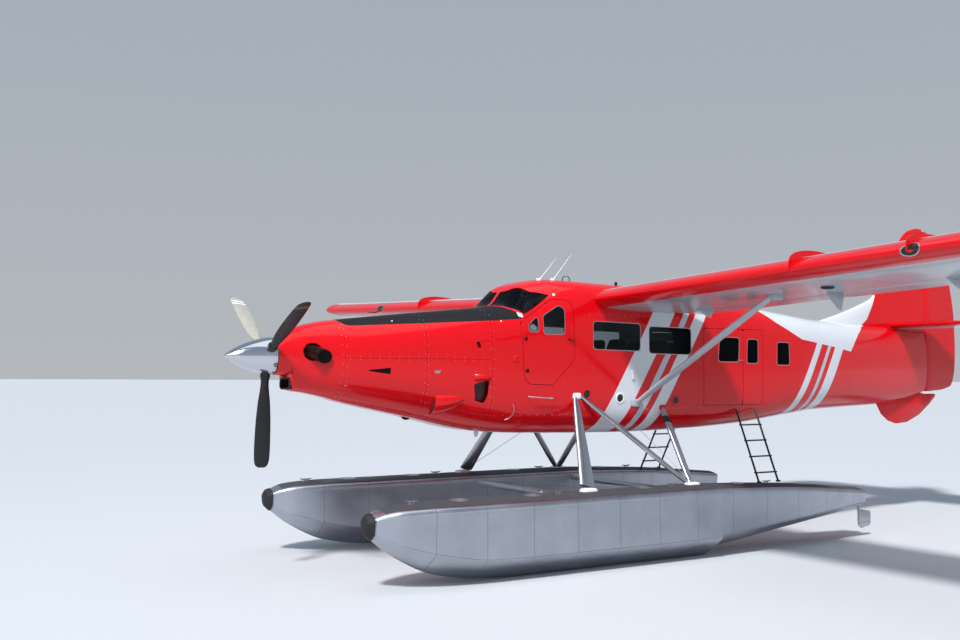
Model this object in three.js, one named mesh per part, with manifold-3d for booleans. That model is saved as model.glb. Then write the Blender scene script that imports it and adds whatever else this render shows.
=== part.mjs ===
// A single-engined, high-wing turboprop floatplane standing on its two floats.
// Millimetres, +Z up, nose towards -X, starboard towards +Y.
// In this file x is the station aft of the propeller disc and z the height above the thrust line.
// The last lines place the aircraft so that the origin is on the ground under the middle of its length.
import * as THREE from 'three';
import { mergeVertices } from 'three/addons/utils/BufferGeometryUtils.js';
import Module from 'manifold-3d';

const wasm = await Module();
wasm.setup();

// Overall sizes
const SPINNER_TIP_X = -532;
const RUDDER_AFT_X = 13775;
const KEEL_BELOW_THRUST = 2680;
const TOUCH_GAP = 0.4; // between pieces that rest on each other
const RING_POINTS = 24; // points round a fuselage section

// Fuselage sections: station, half width, top and bottom heights, squareness of the upper and
// lower halves (2 is an ellipse, more is a box with round corners)
const SECTIONS = [
  { x: 95, w: 234, top: 222, bottom: -236, up: 2.0, low: 2.0 },
  { x: 250, w: 266, top: 318, bottom: -262, up: 2.0, low: 2.0 },
  { x: 266, w: 270, top: 326, bottom: -410, up: 2.0, low: 2.5 },
  { x: 300, w: 282, top: 342, bottom: -432, up: 2.0, low: 2.6 },
  { x: 450, w: 326, top: 396, bottom: -456, up: 2.1, low: 2.6 },
  { x: 740, w: 408, top: 456, bottom: -520, up: 2.2, low: 2.6 },
  { x: 960, w: 470, top: 482, bottom: -582, up: 2.3, low: 2.6 },
  { x: 1870, w: 640, top: 582, bottom: -780, up: 2.8, low: 2.8 },
  { x: 2820, w: 775, top: 680, bottom: -975, up: 3.6, low: 3.6 },
  { x: 3235, w: 812, top: 741, bottom: -1010, up: 3.8, low: 4.2 },
  { x: 3436, w: 820, top: 958, bottom: -1018, up: 2.8, low: 4.4 },
  { x: 3500, w: 822, top: 1025, bottom: -1020, up: 2.7, low: 4.5 },
  { x: 3720, w: 826, top: 1096, bottom: -1025, up: 3.0, low: 4.6 },
  { x: 3950, w: 830, top: 1126, bottom: -1030, up: 3.8, low: 4.8 },
  { x: 4480, w: 832, top: 1110, bottom: -1040, up: 5.0, low: 5.0 },
  { x: 5210, w: 832, top: 1092, bottom: -1050, up: 5.0, low: 5.0 },
  { x: 6460, w: 832, top: 1030, bottom: -1025, up: 5.0, low: 5.0 },
  { x: 7500, w: 825, top: 905, bottom: -975, up: 4.8, low: 4.6 },
  { x: 8600, w: 780, top: 790, bottom: -865, up: 4.2, low: 4.0 },
  { x: 9490, w: 655, top: 722, bottom: -790, up: 3.6, low: 3.4 },
  { x: 10500, w: 490, top: 690, bottom: -752, up: 3.0, low: 3.0 },
  { x: 11300, w: 345, top: 668, bottom: -725, up: 2.6, low: 2.8 },
  { x: 12100, w: 205, top: 645, bottom: -640, up: 2.4, low: 2.6 },
  { x: 12785, w: 92, top: 620, bottom: -505, up: 2.2, low: 2.4 },
];
const NOSE_SEAM_X = 865; // nose bowl to engine cowls
const FIREWALL_X = 2820; // engine cowls to cabin
const TAIL_SEAM_X = 8600; // cabin to tail cone
const COWL_SPLIT_Z = -20; // upper cowl to lower cowl
const ROOF_SPLIT_Z = 830; // side walls to roof
const BELLY_SPLIT_Z = -720; // side walls to belly
const WALL = 35; // cabin wall and doors
const COWL_WALL = 20;
const TAIL_WALL = 24;
const BIG = 3000; // reaches past the aircraft's sides
const CABIN_FLOOR = { z0: -660, z1: -625 };
const INSTRUMENT_PANEL = {
  outline: [[3130, -60], [3290, -60], [3330, 470], [3290, 560], [3130, 560]], halfWidth: 715,
};

// Openings in the cabin sides, as outlines of station and height
const DOOR_GAP = 10;
const CREW_DOOR = [
  [3262, 471], [3300, -240], [3345, -310], [3410, -345], [3750, -355], [4120, 0], [4100, 700],
  [4070, 770], [4010, 800], [3789, 800],
];
const CREW_DOOR_WINDOWS = [
  [[3375, 345], [3545, 345], [3545, 560], [3500, 545], [3375, 440]],
  [[3610, 320], [3955, 325], [3970, 650], [3935, 705], [3870, 725], [3620, 575]],
];
const CABIN_DOOR_FRONT = [[6510, -660], [7320, -660], [7320, 480], [6510, 480]];
const CABIN_DOOR_REAR = [[7320 + DOOR_GAP, -660], [7750, -660], [7750, 480], [7320 + DOOR_GAP, 480]];
const CABIN_DOOR_RIGHT = [[6900, -660], [7660, -660], [7660, 480], [6900, 480]];
const DOOR_WINDOW_FRONT = [[6790, -20], [7230, -20], [7250, 360], [6830, 360]];
const DOOR_WINDOW_REAR = [[7395, -40], [7650, -40], [7650, 340], [7415, 340]];
const DOOR_WINDOW_RIGHT = [[7070, -30], [7500, -30], [7500, 350], [7070, 350]];
const SIDE_WINDOWS = [
  [[4435, 130], [5290, 115], [5290, 515], [4435, 530]],
  [[5440, 85], [6260, 75], [6260, 475], [5440, 485]],
];
const REAR_WINDOW = [[8070, -60], [8380, -60], [8370, 305], [8080, 305]];
const WINDSHIELD = [[3172, 742], [3330, 556], [3835, 878], [3440, 962]];
const WINDSHIELD_FRAME = 26;
const GLASS = 8;
const GLASS_INSET = 12;
const WINDOW_TRIM = { up: 46, height: 22, thick: 6, block: 30 }; // joins the panes of one side inside

// Wing
const CHORD = 1980;
const WING_LE = { x: 4486, z: 808 };
const DIHEDRAL = THREE.MathUtils.degToRad(2.12);
const INCIDENCE = THREE.MathUtils.degToRad(4.6);
const THICKNESS = 0.16; // of the chord
const CAMBER = 0.035;
const CAMBER_AT = 0.4;
// The tip's chord and thickness shrink by a rounded law of this power; its middle line curves up a little
const WING_TIP = { power: 4, leastChord: 0.35, leastThick: 0.2, rise: 45 };
const WING_SPAN_Y = { root: 600, flapIn: 885, split: 4560, tip: 8090, end: 8822 };
const SURFACE_GAP = 10; // beside and in front of flaps and ailerons
const HINGE_AT = 0.745; // of the chord
const WING_FENCE = { y: 4322, reach: 0.33, height: 95, thick: 16, ahead: 14 };
const WING_STRUT = { foot: [5204, 845, -618], head: [5390, 3292, 770], chord: 165, thick: 62 };

// Tail
const TAILPLANE = { z: 700, rootLe: 11750, tipLe: 12060, tipY: 3230, hingeX: 12735, hingeHalf: 42 };
const TORQUE_TUBE = { half: 200, diameter: 44, bore: 72 }; // joins the two halves of the elevator
const TAIL_HATCH = { half: 220, z0: -420, z1: 20 }; // in the bulkhead behind the cabin
const RUDDER_HINGE_X = 12870;
const RUDDER_NOSE_GAP = 20;
// Fin outline, bottom to top: height, leading edge station, half thickness at the rudder
const FIN = [
  { z: 600, x: 9350, half: 58 }, { z: 745, x: 10040, half: 58 }, { z: 940, x: 10730, half: 57 },
  { z: 1210, x: 11410, half: 55 }, { z: 1800, x: 11850, half: 50 }, { z: 2300, x: 12215, half: 44 },
  { z: 2450, x: 12390, half: 36 }, { z: 2520, x: 12600, half: 20 },
];
// Rudder outline, bottom to top: height, trailing edge station, nose radius
const RUDDER = [
  { z: -500, x: 12990, r: 34 }, { z: -465, x: 13380, r: 44 }, { z: -380, x: 13640, r: 50 },
  { z: -90, x: 13745, r: 56 }, { z: 300, x: RUDDER_AFT_X, r: 58 }, { z: 860, x: 13755, r: 57 },
  { z: 1500, x: 13640, r: 53 }, { z: 2100, x: 13440, r: 47 }, { z: 2300, x: 13290, r: 44 },
  { z: 2430, x: 13060, r: 36 }, { z: 2480, x: 12930, r: 26 },
];
const VENTRAL_HALF = 19;
const VENTRAL_FIN = [
  [11460, -600], [11470, -720], [11600, -900], [11780, -1020], [11990, -1078], [12300, -1055],
  [12650, -930], [12980, -720], [13190, -545], [12800, -545], [12600, -500],
];

// Floats: station, half beam at the deck, half beam at the chine, deck edge, chine and keel heights
const FLOAT_Y = 1573;
const FLOAT_KEEL_HALF = 22;
const FLOAT_DECK = { round: 46, crown: 36 };
const FLOAT_FORE = [
  { x: 610, deck: 90, chine: 75, top: -1858, edge: -1985, keel: -2035 },
  { x: 665, deck: 130, chine: 108, top: -1842, edge: -2018, keel: -2085 },
  { x: 760, deck: 188, chine: 168, top: -1805, edge: -2072, keel: -2165 },
  { x: 960, deck: 272, chine: 258, top: -1768, edge: -2160, keel: -2310 },
  { x: 1500, deck: 372, chine: 366, top: -1750, edge: -2300, keel: -2560 },
  { x: 2100, deck: 392, chine: 395, top: -1750, edge: -2390, keel: -2655 },
  { x: 2700, deck: 392, chine: 398, top: -1750, edge: -2402, keel: -KEEL_BELOW_THRUST },
  { x: 5750, deck: 392, chine: 398, top: -1750, edge: -2408, keel: -KEEL_BELOW_THRUST },
];
const FLOAT_AFT = [
  { x: 5740, deck: 392, chine: 390, top: -1750, edge: -2370, keel: -2605 },
  { x: 7200, deck: 350, chine: 340, top: -1812, edge: -2262, keel: -2430 },
  { x: 8900, deck: 215, chine: 200, top: -1950, edge: -2135, keel: -2230 },
];
const CLEAT = { x: 1120, length: 170, width: 60, height: 45 };
const BUMPER = { x0: 582, x1: 672, proud: 16 };

// Float struts: stations and heights of the fittings
const FUSELAGE_FITTING_Y = 800;
const STRUT_FRONT = { topX: 4150, topZ: -520, footX: 3780, topChord: 115, footChord: 235 };
const STRUT_REAR = { topX: 5720, topZ: -690, footX: 5565, topChord: 120, footChord: 120 };
const STRUT_FOOT_Z = -1745;
const SPREADER_Z = -1835;
const SPREADER_RADIUS = 42;
const WATER_RUDDER = { postX: 9000, radius: 22, z0: -2560, z1: -1985, noseX: 8979, aftX: 9265, thick: 26 };
// Brackets on the stern that carry the water rudder's post: a cap above it and an eye round it
const TRANSOM = { fromX: 8885, toX: 9045, half: 45, capZ: [-1975, -1952], eyeZ: [-2112, -2088], run: 6 };

// Propeller
const SPINNER = { backRadius: 228, frontRadius: 232, lip: 25, fullness: 1.6, point: 0.85 };
const BLADE_RADIUS = 1381;
const BLADE_ANGLES_DEG = [175.4, 55.4, -64.6]; // from straight up towards starboard
const SPINNER_BACK_X = 80;
// Blade sections: radius, chord, thickness, pitch from the disc in degrees
const BLADE = [
  { r: 165, chord: 100, thick: 100, pitch: 100 }, { r: 330, chord: 100, thick: 96, pitch: 100 },
  { r: 430, chord: 128, thick: 60, pitch: 99 }, { r: 600, chord: 170, thick: 40, pitch: 95 },
  { r: 850, chord: 196, thick: 28, pitch: 90 }, { r: 1100, chord: 202, thick: 21, pitch: 85 },
  { r: 1270, chord: 192, thick: 16, pitch: 82 }, { r: 1350, chord: 156, thick: 11, pitch: 81 },
  { r: BLADE_RADIUS, chord: 84, thick: 7, pitch: 80 },
];

// Materials
const paint = (color, roughness = 0.25) =>
  new THREE.MeshStandardMaterial({ color, roughness, metalness: 0.1 });
const metal = (color, roughness = 0.4) =>
  new THREE.MeshStandardMaterial({ color, roughness, metalness: 1 });
const RED = 0xc8102e;
const WHITE = 0xe9ebee;
const GREY = 0xb9bdc4;
const glassMaterial = () => new THREE.MeshStandardMaterial({
  color: 0x16202a, roughness: 0.08, metalness: 0, transparent: true, opacity: 0.45,
});

// Solids
const aircraft = new THREE.Group();

function signedVolume(points, triangles) {
  let volume = 0;
  for (let i = 0; i < triangles.length; i += 3) {
    const [a, b, c] = [0, 1, 2].map((k) => new THREE.Vector3(...points[triangles[i + k]]));
    volume += a.dot(b.cross(c)) / 6;
  }
  return volume;
}

// A closed solid from points and triangles, turned so that its faces point out
function solidFrom(points, triangles) {
  const inward = signedVolume(points, triangles) < 0;
  const order = [];
  for (let i = 0; i < triangles.length; i += 3) {
    const [a, b, c] = triangles.slice(i, i + 3);
    order.push(...(inward ? [a, c, b] : [a, b, c]));
  }
  return new wasm.Manifold(new wasm.Mesh({
    numProp: 3,
    vertProperties: new Float32Array(points.flat()),
    triVerts: new Uint32Array(order),
  }));
}

// A closed solid from a three.js geometry
function solidOf(geometry) {
  const bare = geometry.clone();
  bare.deleteAttribute('normal');
  bare.deleteAttribute('uv');
  const merged = mergeVertices(bare, 1e-3);
  return new wasm.Manifold(new wasm.Mesh({
    numProp: 3,
    vertProperties: new Float32Array(merged.attributes.position.array),
    triVerts: new Uint32Array(merged.index.array),
  }));
}

// The solid's vertices and triangles as a geometry; side -1 mirrors it to port
function geometryOf(solid, side = 1) {
  const mesh = solid.getMesh();
  const places = new Float32Array(mesh.vertProperties);
  const index = Array.from(mesh.triVerts);
  if (side < 0) {
    for (let i = 1; i < places.length; i += 3) places[i] *= -1;
    for (let i = 0; i < index.length; i += 3) [index[i], index[i + 1]] = [index[i + 1], index[i]];
  }
  const geometry = new THREE.BufferGeometry();
  geometry.setAttribute('position', new THREE.BufferAttribute(places, 3));
  geometry.setIndex(index);
  geometry.computeVertexNormals();
  return geometry;
}

function mirrored(solid) {
  return solidOf(geometryOf(solid, -1));
}

function add(name, solid, material) {
  const mesh = new THREE.Mesh(geometryOf(solid), material);
  mesh.name = name;
  aircraft.add(mesh);
}

// A port and a starboard copy of a solid modelled to starboard
function addPair(name, solid, material) {
  add(`left_${name}`, mirrored(solid), material());
  add(`right_${name}`, solid, material());
}

// A skin through rings of equal point count, closed by caps cut from the flat outline of a ring.
// The patches right and left of a ring's middle are split along opposite diagonals, so that port
// and starboard come out alike.
function loft(rings, flat = (p) => [p[1], p[2]]) {
  const count = rings[0].length;
  const points = rings.flat();
  const triangles = [];
  for (let i = 0; i + 1 < rings.length; i++) {
    const middle = rings[i].reduce((sum, p) => sum + p[1], 0) / count;
    for (let j = 0; j < count; j++) {
      const a = i * count + j;
      const b = i * count + ((j + 1) % count);
      const [c, d] = [b + count, a + count];
      const right = (points[a][1] + points[b][1]) / 2 > middle;
      triangles.push(...(right ? [a, b, c, a, c, d] : [a, b, d, b, c, d]));
    }
  }
  const outline = rings[0].map((p) => new THREE.Vector2(...flat(p)));
  const last = (rings.length - 1) * count;
  for (const [a, b, c] of THREE.ShapeUtils.triangulateShape(outline, [])) {
    triangles.push(a, c, b, last + a, last + b, last + c);
  }
  return turnedCaps(points, triangles, count, outline);
}

// triangulateShape follows the outline's own sense, so the caps are turned to match the skin
function turnedCaps(points, triangles, count, outline) {
  const clockwise = THREE.ShapeUtils.isClockWise(outline);
  const skin = points.length / count - 1;
  const start = skin * count * 6;
  const turned = triangles.slice(0, start);
  for (let i = start; i < triangles.length; i += 3) {
    const [a, b, c] = triangles.slice(i, i + 3);
    turned.push(...(clockwise ? [a, c, b] : [a, b, c]));
  }
  return solidFrom(points, turned);
}

// An outline of station and height, carried straight from one y to another
function sidePrism(outline, y0, y1) {
  const rings = [y0, y1].map((y) => outline.map(([x, z]) => [x, y, z]));
  return loft(rings, (p) => [p[0], p[2]]);
}

function box(x0, x1, y0, y1, z0, z1) {
  return sidePrism([[x0, z0], [x1, z0], [x1, z1], [x0, z1]], y0, y1);
}

// A convex outline moved outwards by a distance, or inwards where it is negative
function outset(outline, distance) {
  const turn = THREE.ShapeUtils.isClockWise(outline.map((p) => new THREE.Vector2(...p))) ? -1 : 1;
  return outline.map((point, i) => {
    const before = outline[(i + outline.length - 1) % outline.length];
    const after = outline[(i + 1) % outline.length];
    const [n0, n1] = [[before, point], [point, after]].map(([a, b]) => {
      const length = Math.hypot(b[0] - a[0], b[1] - a[1]);
      return [(turn * (b[1] - a[1])) / length, (-turn * (b[0] - a[0])) / length];
    });
    const scale = distance / (1 + n0[0] * n1[0] + n0[1] * n1[1]);
    return [point[0] + (n0[0] + n1[0]) * scale, point[1] + (n0[1] + n1[1]) * scale];
  });
}

// A round or streamlined bar between two places, its chord lying as near to fore-and-aft as it can
function bar(from, to, chord, thick, endChord = chord, sides = 10) {
  const [a, b] = [new THREE.Vector3(...from), new THREE.Vector3(...to)];
  const along = b.clone().sub(a).normalize();
  const fore = new THREE.Vector3(1, 0, 0);
  if (Math.abs(along.x) > 0.9) fore.set(0, 0, 1);
  const u = fore.sub(along.clone().multiplyScalar(fore.dot(along))).normalize();
  const v = new THREE.Vector3().crossVectors(along, u);
  const rings = [[a, chord], [b, endChord]].map(([centre, width]) => {
    const ring = [];
    for (let j = 0; j < sides; j++) {
      const t = (2 * Math.PI * j) / sides;
      const p = centre.clone().addScaledVector(u, (width / 2) * Math.cos(t));
      ring.push(p.addScaledVector(v, (thick / 2) * Math.sin(t)).toArray());
    }
    return ring;
  });
  return loft(rings, (p) => {
    const q = new THREE.Vector3(...p).sub(a);
    return [q.dot(u), q.dot(v)];
  });
}

// A value read from a table at x, on straight lines between its rows
function tableAt(table, key, x) {
  const i = Math.max(1, table.findIndex((row) => row.x >= x));
  const [a, b] = [table[i - 1], table[i]];
  return THREE.MathUtils.lerp(a[key], b[key], (x - a.x) / (b.x - a.x));
}

// One closed section of the fuselage, drawn in from the skin by a wall
function fuselageRing(x, wall = 0, stationShift = 0) {
  const at = (key) => tableAt(SECTIONS, key, x);
  const ring = [];
  for (let j = 0; j < RING_POINTS; j++) {
    const t = (2 * Math.PI * (j + 0.5)) / RING_POINTS;
    const [c, s] = [Math.cos(t), Math.sin(t)];
    const power = 2 / (s > 0 ? at('up') : at('low'));
    const height = s > 0 ? at('top') - wall : -at('bottom') - wall;
    ring.push([
      x + stationShift,
      Math.sign(c) * Math.abs(c) ** power * (at('w') - wall),
      Math.sign(s) * Math.abs(s) ** power * height,
    ]);
  }
  return ring;
}

// The fuselage between two stations as a plain solid; over lengthens both ends
function fuselageSolid(x0, x1, wall = 0, over = 0) {
  const inside = SECTIONS.map((row) => row.x).filter((x) => x > x0 + 1 && x < x1 - 1);
  const rings = inside.map((x) => fuselageRing(x, wall));
  rings.unshift(fuselageRing(x0, wall, -over));
  rings.push(fuselageRing(x1, wall, over));
  return loft(rings);
}

function fuselageShell(x0, x1, wall) {
  return fuselageSolid(x0, x1).subtract(fuselageSolid(x0, x1, wall, 5));
}

// Wing sections, in plan station and height, pitched up by the incidence
function wingPoint(s, side) {
  const camber = s < CAMBER_AT
    ? (CAMBER / CAMBER_AT ** 2) * (2 * CAMBER_AT * s - s * s)
    : (CAMBER / (1 - CAMBER_AT) ** 2) * (1 - 2 * CAMBER_AT + 2 * CAMBER_AT * s - s * s);
  const half = 5 * THICKNESS
    * (0.2969 * Math.sqrt(s) - 0.126 * s - 0.3516 * s ** 2 + 0.2843 * s ** 3 - 0.1015 * s ** 4);
  const [along, up] = [s * CHORD, (camber + side * half) * CHORD];
  return [
    WING_LE.x + along * Math.cos(INCIDENCE) + up * Math.sin(INCIDENCE),
    WING_LE.z - along * Math.sin(INCIDENCE) + up * Math.cos(INCIDENCE),
  ];
}

// Shares of the chord from the nose back, close together at the nose
function chordSteps(from, to, count) {
  const steps = [];
  for (let i = 0; i <= count; i++) {
    const t = 0.5 - 0.5 * Math.cos((Math.PI * i) / count);
    steps.push(from + (to - from) * (from === 0 ? 2 * t - Math.sqrt(t) * t : i / count));
  }
  return steps;
}

const [hingeTop, hingeLow] = [wingPoint(HINGE_AT, 1), wingPoint(HINGE_AT, -1)];
const WING_HINGE = { x: (hingeTop[0] + hingeLow[0]) / 2, z: (hingeTop[1] + hingeLow[1]) / 2 };
const NOSE_RADIUS = (hingeTop[1] - hingeLow[1]) / 2 - 3;

function arc(centre, radius, fromDeg, toDeg, count) {
  return Array.from({ length: count + 1 }, (_, i) => {
    const t = THREE.MathUtils.degToRad(THREE.MathUtils.lerp(fromDeg, toDeg, i / count));
    return [centre.x + radius * Math.cos(t), centre.z + radius * Math.sin(t)];
  });
}

// The fixed wing ahead of the flaps: skin to just ahead of the hinge, then a round cove
function wingBoxOutline() {
  const cove = NOSE_RADIUS + SURFACE_GAP;
  const lower = chordSteps(0, HINGE_AT - 0.036, 9).map((s) => wingPoint(s, -1));
  const upper = chordSteps(0, HINGE_AT - 0.024, 9).map((s) => wingPoint(s, 1)).slice(1).reverse();
  return [...lower, ...arc(WING_HINGE, cove, 228, 132, 6), ...upper];
}

function wingFullOutline() {
  const lower = chordSteps(0, 1, 10).slice(0, -1).map((s) => wingPoint(s, -1));
  const upper = chordSteps(0, 1, 10).slice(1, -1).map((s) => wingPoint(s, 1)).reverse();
  const tail = wingPoint(1, 0);
  return [...lower, [tail[0], tail[1] - 2], [tail[0], tail[1] + 2], ...upper];
}

function flapOutline() {
  const tail = wingPoint(1, 0);
  const skin = [0.8, 0.88, 0.95];
  return [
    ...arc(WING_HINGE, NOSE_RADIUS, 97, 263, 8),
    ...skin.map((s) => wingPoint(s, -1)),
    [tail[0], tail[1] - 2],
    [tail[0], tail[1] + 2],
    ...skin.slice().reverse().map((s) => wingPoint(s, 1)),
  ];
}

// Starboard wing parts are made level and then raised by the dihedral about the root line
function raised(solid) {
  const turn = new THREE.Matrix4().makeTranslation(0, 0, WING_LE.z)
    .multiply(new THREE.Matrix4().makeRotationX(DIHEDRAL))
    .multiply(new THREE.Matrix4().makeTranslation(0, 0, -WING_LE.z));
  return solidOf(geometryOf(solid).applyMatrix4(turn));
}

function wingTip() {
  const outline = wingFullOutline();
  const middle = { x: WING_LE.x + CHORD * 0.42, z: WING_LE.z + 5 };
  const { power, leastChord, leastThick, rise } = WING_TIP;
  const { tip, end } = WING_SPAN_Y;
  const rings = [0, 0.35, 0.65, 0.86, 0.97, 1].map((share) => {
    const round = Math.sqrt(1 - share ** power);
    const size = Math.max(leastChord, round);
    const thin = Math.max(leastThick, round);
    return outline.map(([x, z]) => [
      middle.x + (x - middle.x) * size,
      tip - 1 + (end - tip + 1) * share,
      middle.z + rise * share + (z - middle.z) * size * thin,
    ]);
  });
  return loft(rings, (p) => [p[0], p[2]]);
}

function wingFence() {
  const { y, reach, height, thick, ahead } = WING_FENCE;
  const outline = [];
  for (let i = 0; i <= 10; i++) {
    const s = i / 10;
    const [x, z] = wingPoint(s * s * reach, 1);
    const rise = height * Math.sin(Math.PI * Math.sqrt(s)) * (1 - 0.3 * s);
    outline.push([x - ahead * (1 - s), z + rise]);
  }
  const under = [0.2, 0.08, 0.02].map((s) => wingPoint(s, 0));
  return sidePrism([...outline, ...under], y - thick / 2, y + thick / 2);
}

function makeWings() {
  const { root, flapIn, split, tip } = WING_SPAN_Y;
  const wing = sidePrism(wingBoxOutline(), root, tip).add(wingTip()).add(wingFence());
  const surface = (y0, y1) => raised(sidePrism(flapOutline(), y0, y1));
  addPair('wing', raised(wing), () => paint(RED));
  addPair('flap', surface(flapIn, split - SURFACE_GAP), () => paint(GREY));
  addPair('aileron', surface(split, tip - SURFACE_GAP), () => paint(GREY));
  const { foot, head, chord, thick } = WING_STRUT;
  const wingCut = raised(sidePrism(outset(wingBoxOutline(), TOUCH_GAP), root, tip));
  const strut = bar(foot, [...head.slice(0, 2), head[2] + 90], chord, thick).subtract(wingCut)
    .subtract(fuselageSolid(FIREWALL_X, TAIL_SEAM_X, -TOUCH_GAP));
  addPair('wing_strut', strut, () => paint(GREY));
}

// The wing's root as it passes through the cabin wall, a little fat
function wingRootCut(side) {
  const cut = raised(sidePrism(outset(wingBoxOutline(), TOUCH_GAP), WING_SPAN_Y.root - TOUCH_GAP, 1400));
  return side < 0 ? mirrored(cut) : cut;
}

function makePropeller() {
  const { backRadius, frontRadius, lip, fullness, point } = SPINNER;
  const profile = [new THREE.Vector2(0, -SPINNER_BACK_X), new THREE.Vector2(backRadius, -SPINNER_BACK_X)];
  const steps = 9;
  for (let i = 0; i <= steps; i++) {
    const share = i / steps;
    const x = THREE.MathUtils.lerp(SPINNER_BACK_X - lip, SPINNER_TIP_X, share);
    profile.push(new THREE.Vector2(frontRadius * (1 - share ** fullness) ** point, -x));
  }
  let spinner = solidOf(new THREE.LatheGeometry(profile, 24).rotateZ(Math.PI / 2));
  BLADE_ANGLES_DEG.forEach((angle, i) => {
    const turn = (solid) => solidOf(geometryOf(solid).rotateX(-THREE.MathUtils.degToRad(angle)));
    spinner = spinner.subtract(turn(propellerBlade(TOUCH_GAP)));
    add(`propeller_blade_${i + 1}`, turn(propellerBlade(0)), paint(0x1b1c1e, 0.4));
  });
  add('spinner', spinner, metal(0xc9ccd1, 0.12));
}

// One blade pointing up; fat makes it a little larger for its socket
function propellerBlade(fat) {
  const sides = 12;
  const rings = BLADE.map((row, i) => {
    const pitch = THREE.MathUtils.degToRad(row.pitch);
    const ring = [];
    for (let j = 0; j < sides; j++) {
      const t = (2 * Math.PI * j) / sides;
      const along = (row.chord / 2 + fat) * Math.cos(t);
      const across = (row.thick / 2 + fat) * Math.sin(t);
      ring.push([
        along * Math.sin(pitch) + across * Math.cos(pitch),
        along * Math.cos(pitch) - across * Math.sin(pitch),
        row.r - (i === 0 ? fat : 0),
      ]);
    }
    return ring;
  });
  return loft(rings, (p) => [p[0], p[1]]);
}

const INLET = { width: 300, z0: -400, z1: -274, x0: 255, x1: 330 };
const CHIN = { backX: 290, topZ: -240 }; // the solid behind the inlet's lip
const SHAFT_HOLE = { x0: 60, x1: 300, size: 260 };
const EXHAUST = {
  from: [400, 150, 60], to: [600, 470, -10], radius: 95, wall: 8, holeX: 505, holeZ: 45, cutout: 135,
};
const ENGINE = {
  shaftX: 92, caseX: 760, aftX: 2300, shaft: 120, engineCase: 520, mountHalf: 180,
};

// The exhaust stub's outline, drawn out by grow and lengthened at both ends by over
function exhaustTube(grow, over) {
  const [from, to] = [EXHAUST.from, EXHAUST.to].map((p) => new THREE.Vector3(...p));
  const reach = to.clone().sub(from).setLength(over);
  const size = 2 * (EXHAUST.radius + grow);
  return bar(from.sub(reach).toArray(), to.add(reach).toArray(), size, size, size, 12);
}

function makeEngineBay() {
  const { width, z0, z1, x0: inletX, x1: inletEnd } = INLET;
  const inletCut = box(inletX, inletEnd, -width / 2, width / 2, z0, z1);
  const { shaftX, caseX, aftX, shaft, engineCase, mountHalf } = ENGINE;
  const { x0: holeFrom, x1: holeTo, size: holeSize } = SHAFT_HOLE;
  const frontHole = bar([holeFrom, 0, 0], [holeTo, 0, 0], holeSize, holeSize, holeSize, 16);
  const { holeX, holeZ, cutout } = EXHAUST;
  const round = 2 * cutout;
  const stubHole = bar([holeX, 100, holeZ], [holeX, 700, holeZ], round, round, round, 16)
    .add(exhaustTube(SURFACE_GAP, SURFACE_GAP));
  const holes = stubHole.add(mirrored(stubHole));
  const skin = fuselageSolid(SECTIONS[0].x, FIREWALL_X);
  const hollow = fuselageSolid(SECTIONS[0].x, FIREWALL_X, COWL_WALL, 5)
    .intersect(box(SECTIONS[0].x + COWL_WALL, BIG, -BIG, BIG, CHIN.topZ, BIG)
      .add(box(CHIN.backX, BIG, -BIG, BIG, -BIG, BIG)));
  const shell = skin.subtract(hollow).subtract(inletCut).subtract(frontHole).subtract(holes);
  const part = (x0, x1, low, high) => shell.intersect(box(x0, x1, -BIG, BIG, low, high));
  const cowlX = NOSE_SEAM_X + TOUCH_GAP;
  add('nose_bowl', part(0, NOSE_SEAM_X, -BIG, BIG), paint(RED));
  add('upper_engine_cowl', part(cowlX, FIREWALL_X, COWL_SPLIT_Z, BIG), paint(RED));
  add('lower_engine_cowl', part(cowlX, FIREWALL_X, -BIG, COWL_SPLIT_Z - TOUCH_GAP), paint(RED));
  const engine = bar([caseX, 0, 0], [aftX, 0, 0], engineCase, engineCase, engineCase, 20)
    .add(bar([shaftX, 0, 0], [caseX + 10, 0, 0], shaft, shaft, shaft, 12))
    .add(box(aftX - 10, FIREWALL_X + 1 - TOUCH_GAP, -mountHalf, mountHalf, -mountHalf, mountHalf));
  add('engine_block', engine, metal(0x6f7276, 0.6));
  const stub = exhaustTube(0, 0).subtract(exhaustTube(-EXHAUST.wall, 5));
  addPair('exhaust_stub', stub, () => metal(0x5b4a42, 0.55));
}

function hole(outline, grow = 0) {
  return sidePrism(outset(outline, grow), -BIG, -300);
}

// A pane that fills a window outline, 0.4 mm clear of its edge, in the outer part of the wall
function pane(outline) {
  const skin = fuselageShell(FIREWALL_X, TAIL_SEAM_X, GLASS + GLASS_INSET)
    .subtract(fuselageShell(FIREWALL_X, TAIL_SEAM_X, GLASS_INSET));
  return skin.intersect(hole(outline, -TOUCH_GAP));
}

// Panes on one side joined by the trim strip that runs along the inside of the wall
function panes(outlines) {
  const { up, height, thick, block } = WINDOW_TRIM;
  const [x0, x1] = [outlines[0][0][0] + block, outlines.at(-1)[1][0] - block];
  const z = outlines[0][0][1] + up;
  const layer = (outer, from, to) => fuselageSolid(FIREWALL_X, TAIL_SEAM_X, outer)
    .subtract(fuselageSolid(FIREWALL_X, TAIL_SEAM_X, WALL + thick, 5))
    .intersect(hole([[from, z], [to, z], [to, z + height], [from, z + height]]));
  const strip = layer(WALL + TOUCH_GAP, x0, x1);
  const blocks = outlines.map((outline) => {
    const near = outline === outlines[0] ? outline[1][0] - 2 * block : outline[0][0] + block;
    return layer(GLASS, near, near + block);
  });
  return [...outlines.map(pane), ...blocks].reduce((a, b) => a.add(b), strip);
}

function door(outline, windows) {
  const cuts = windows.map((w) => hole(w));
  const panel = fuselageShell(FIREWALL_X, TAIL_SEAM_X, WALL).intersect(hole(outline));
  return cuts.reduce((a, b) => a.subtract(b), panel);
}

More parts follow.
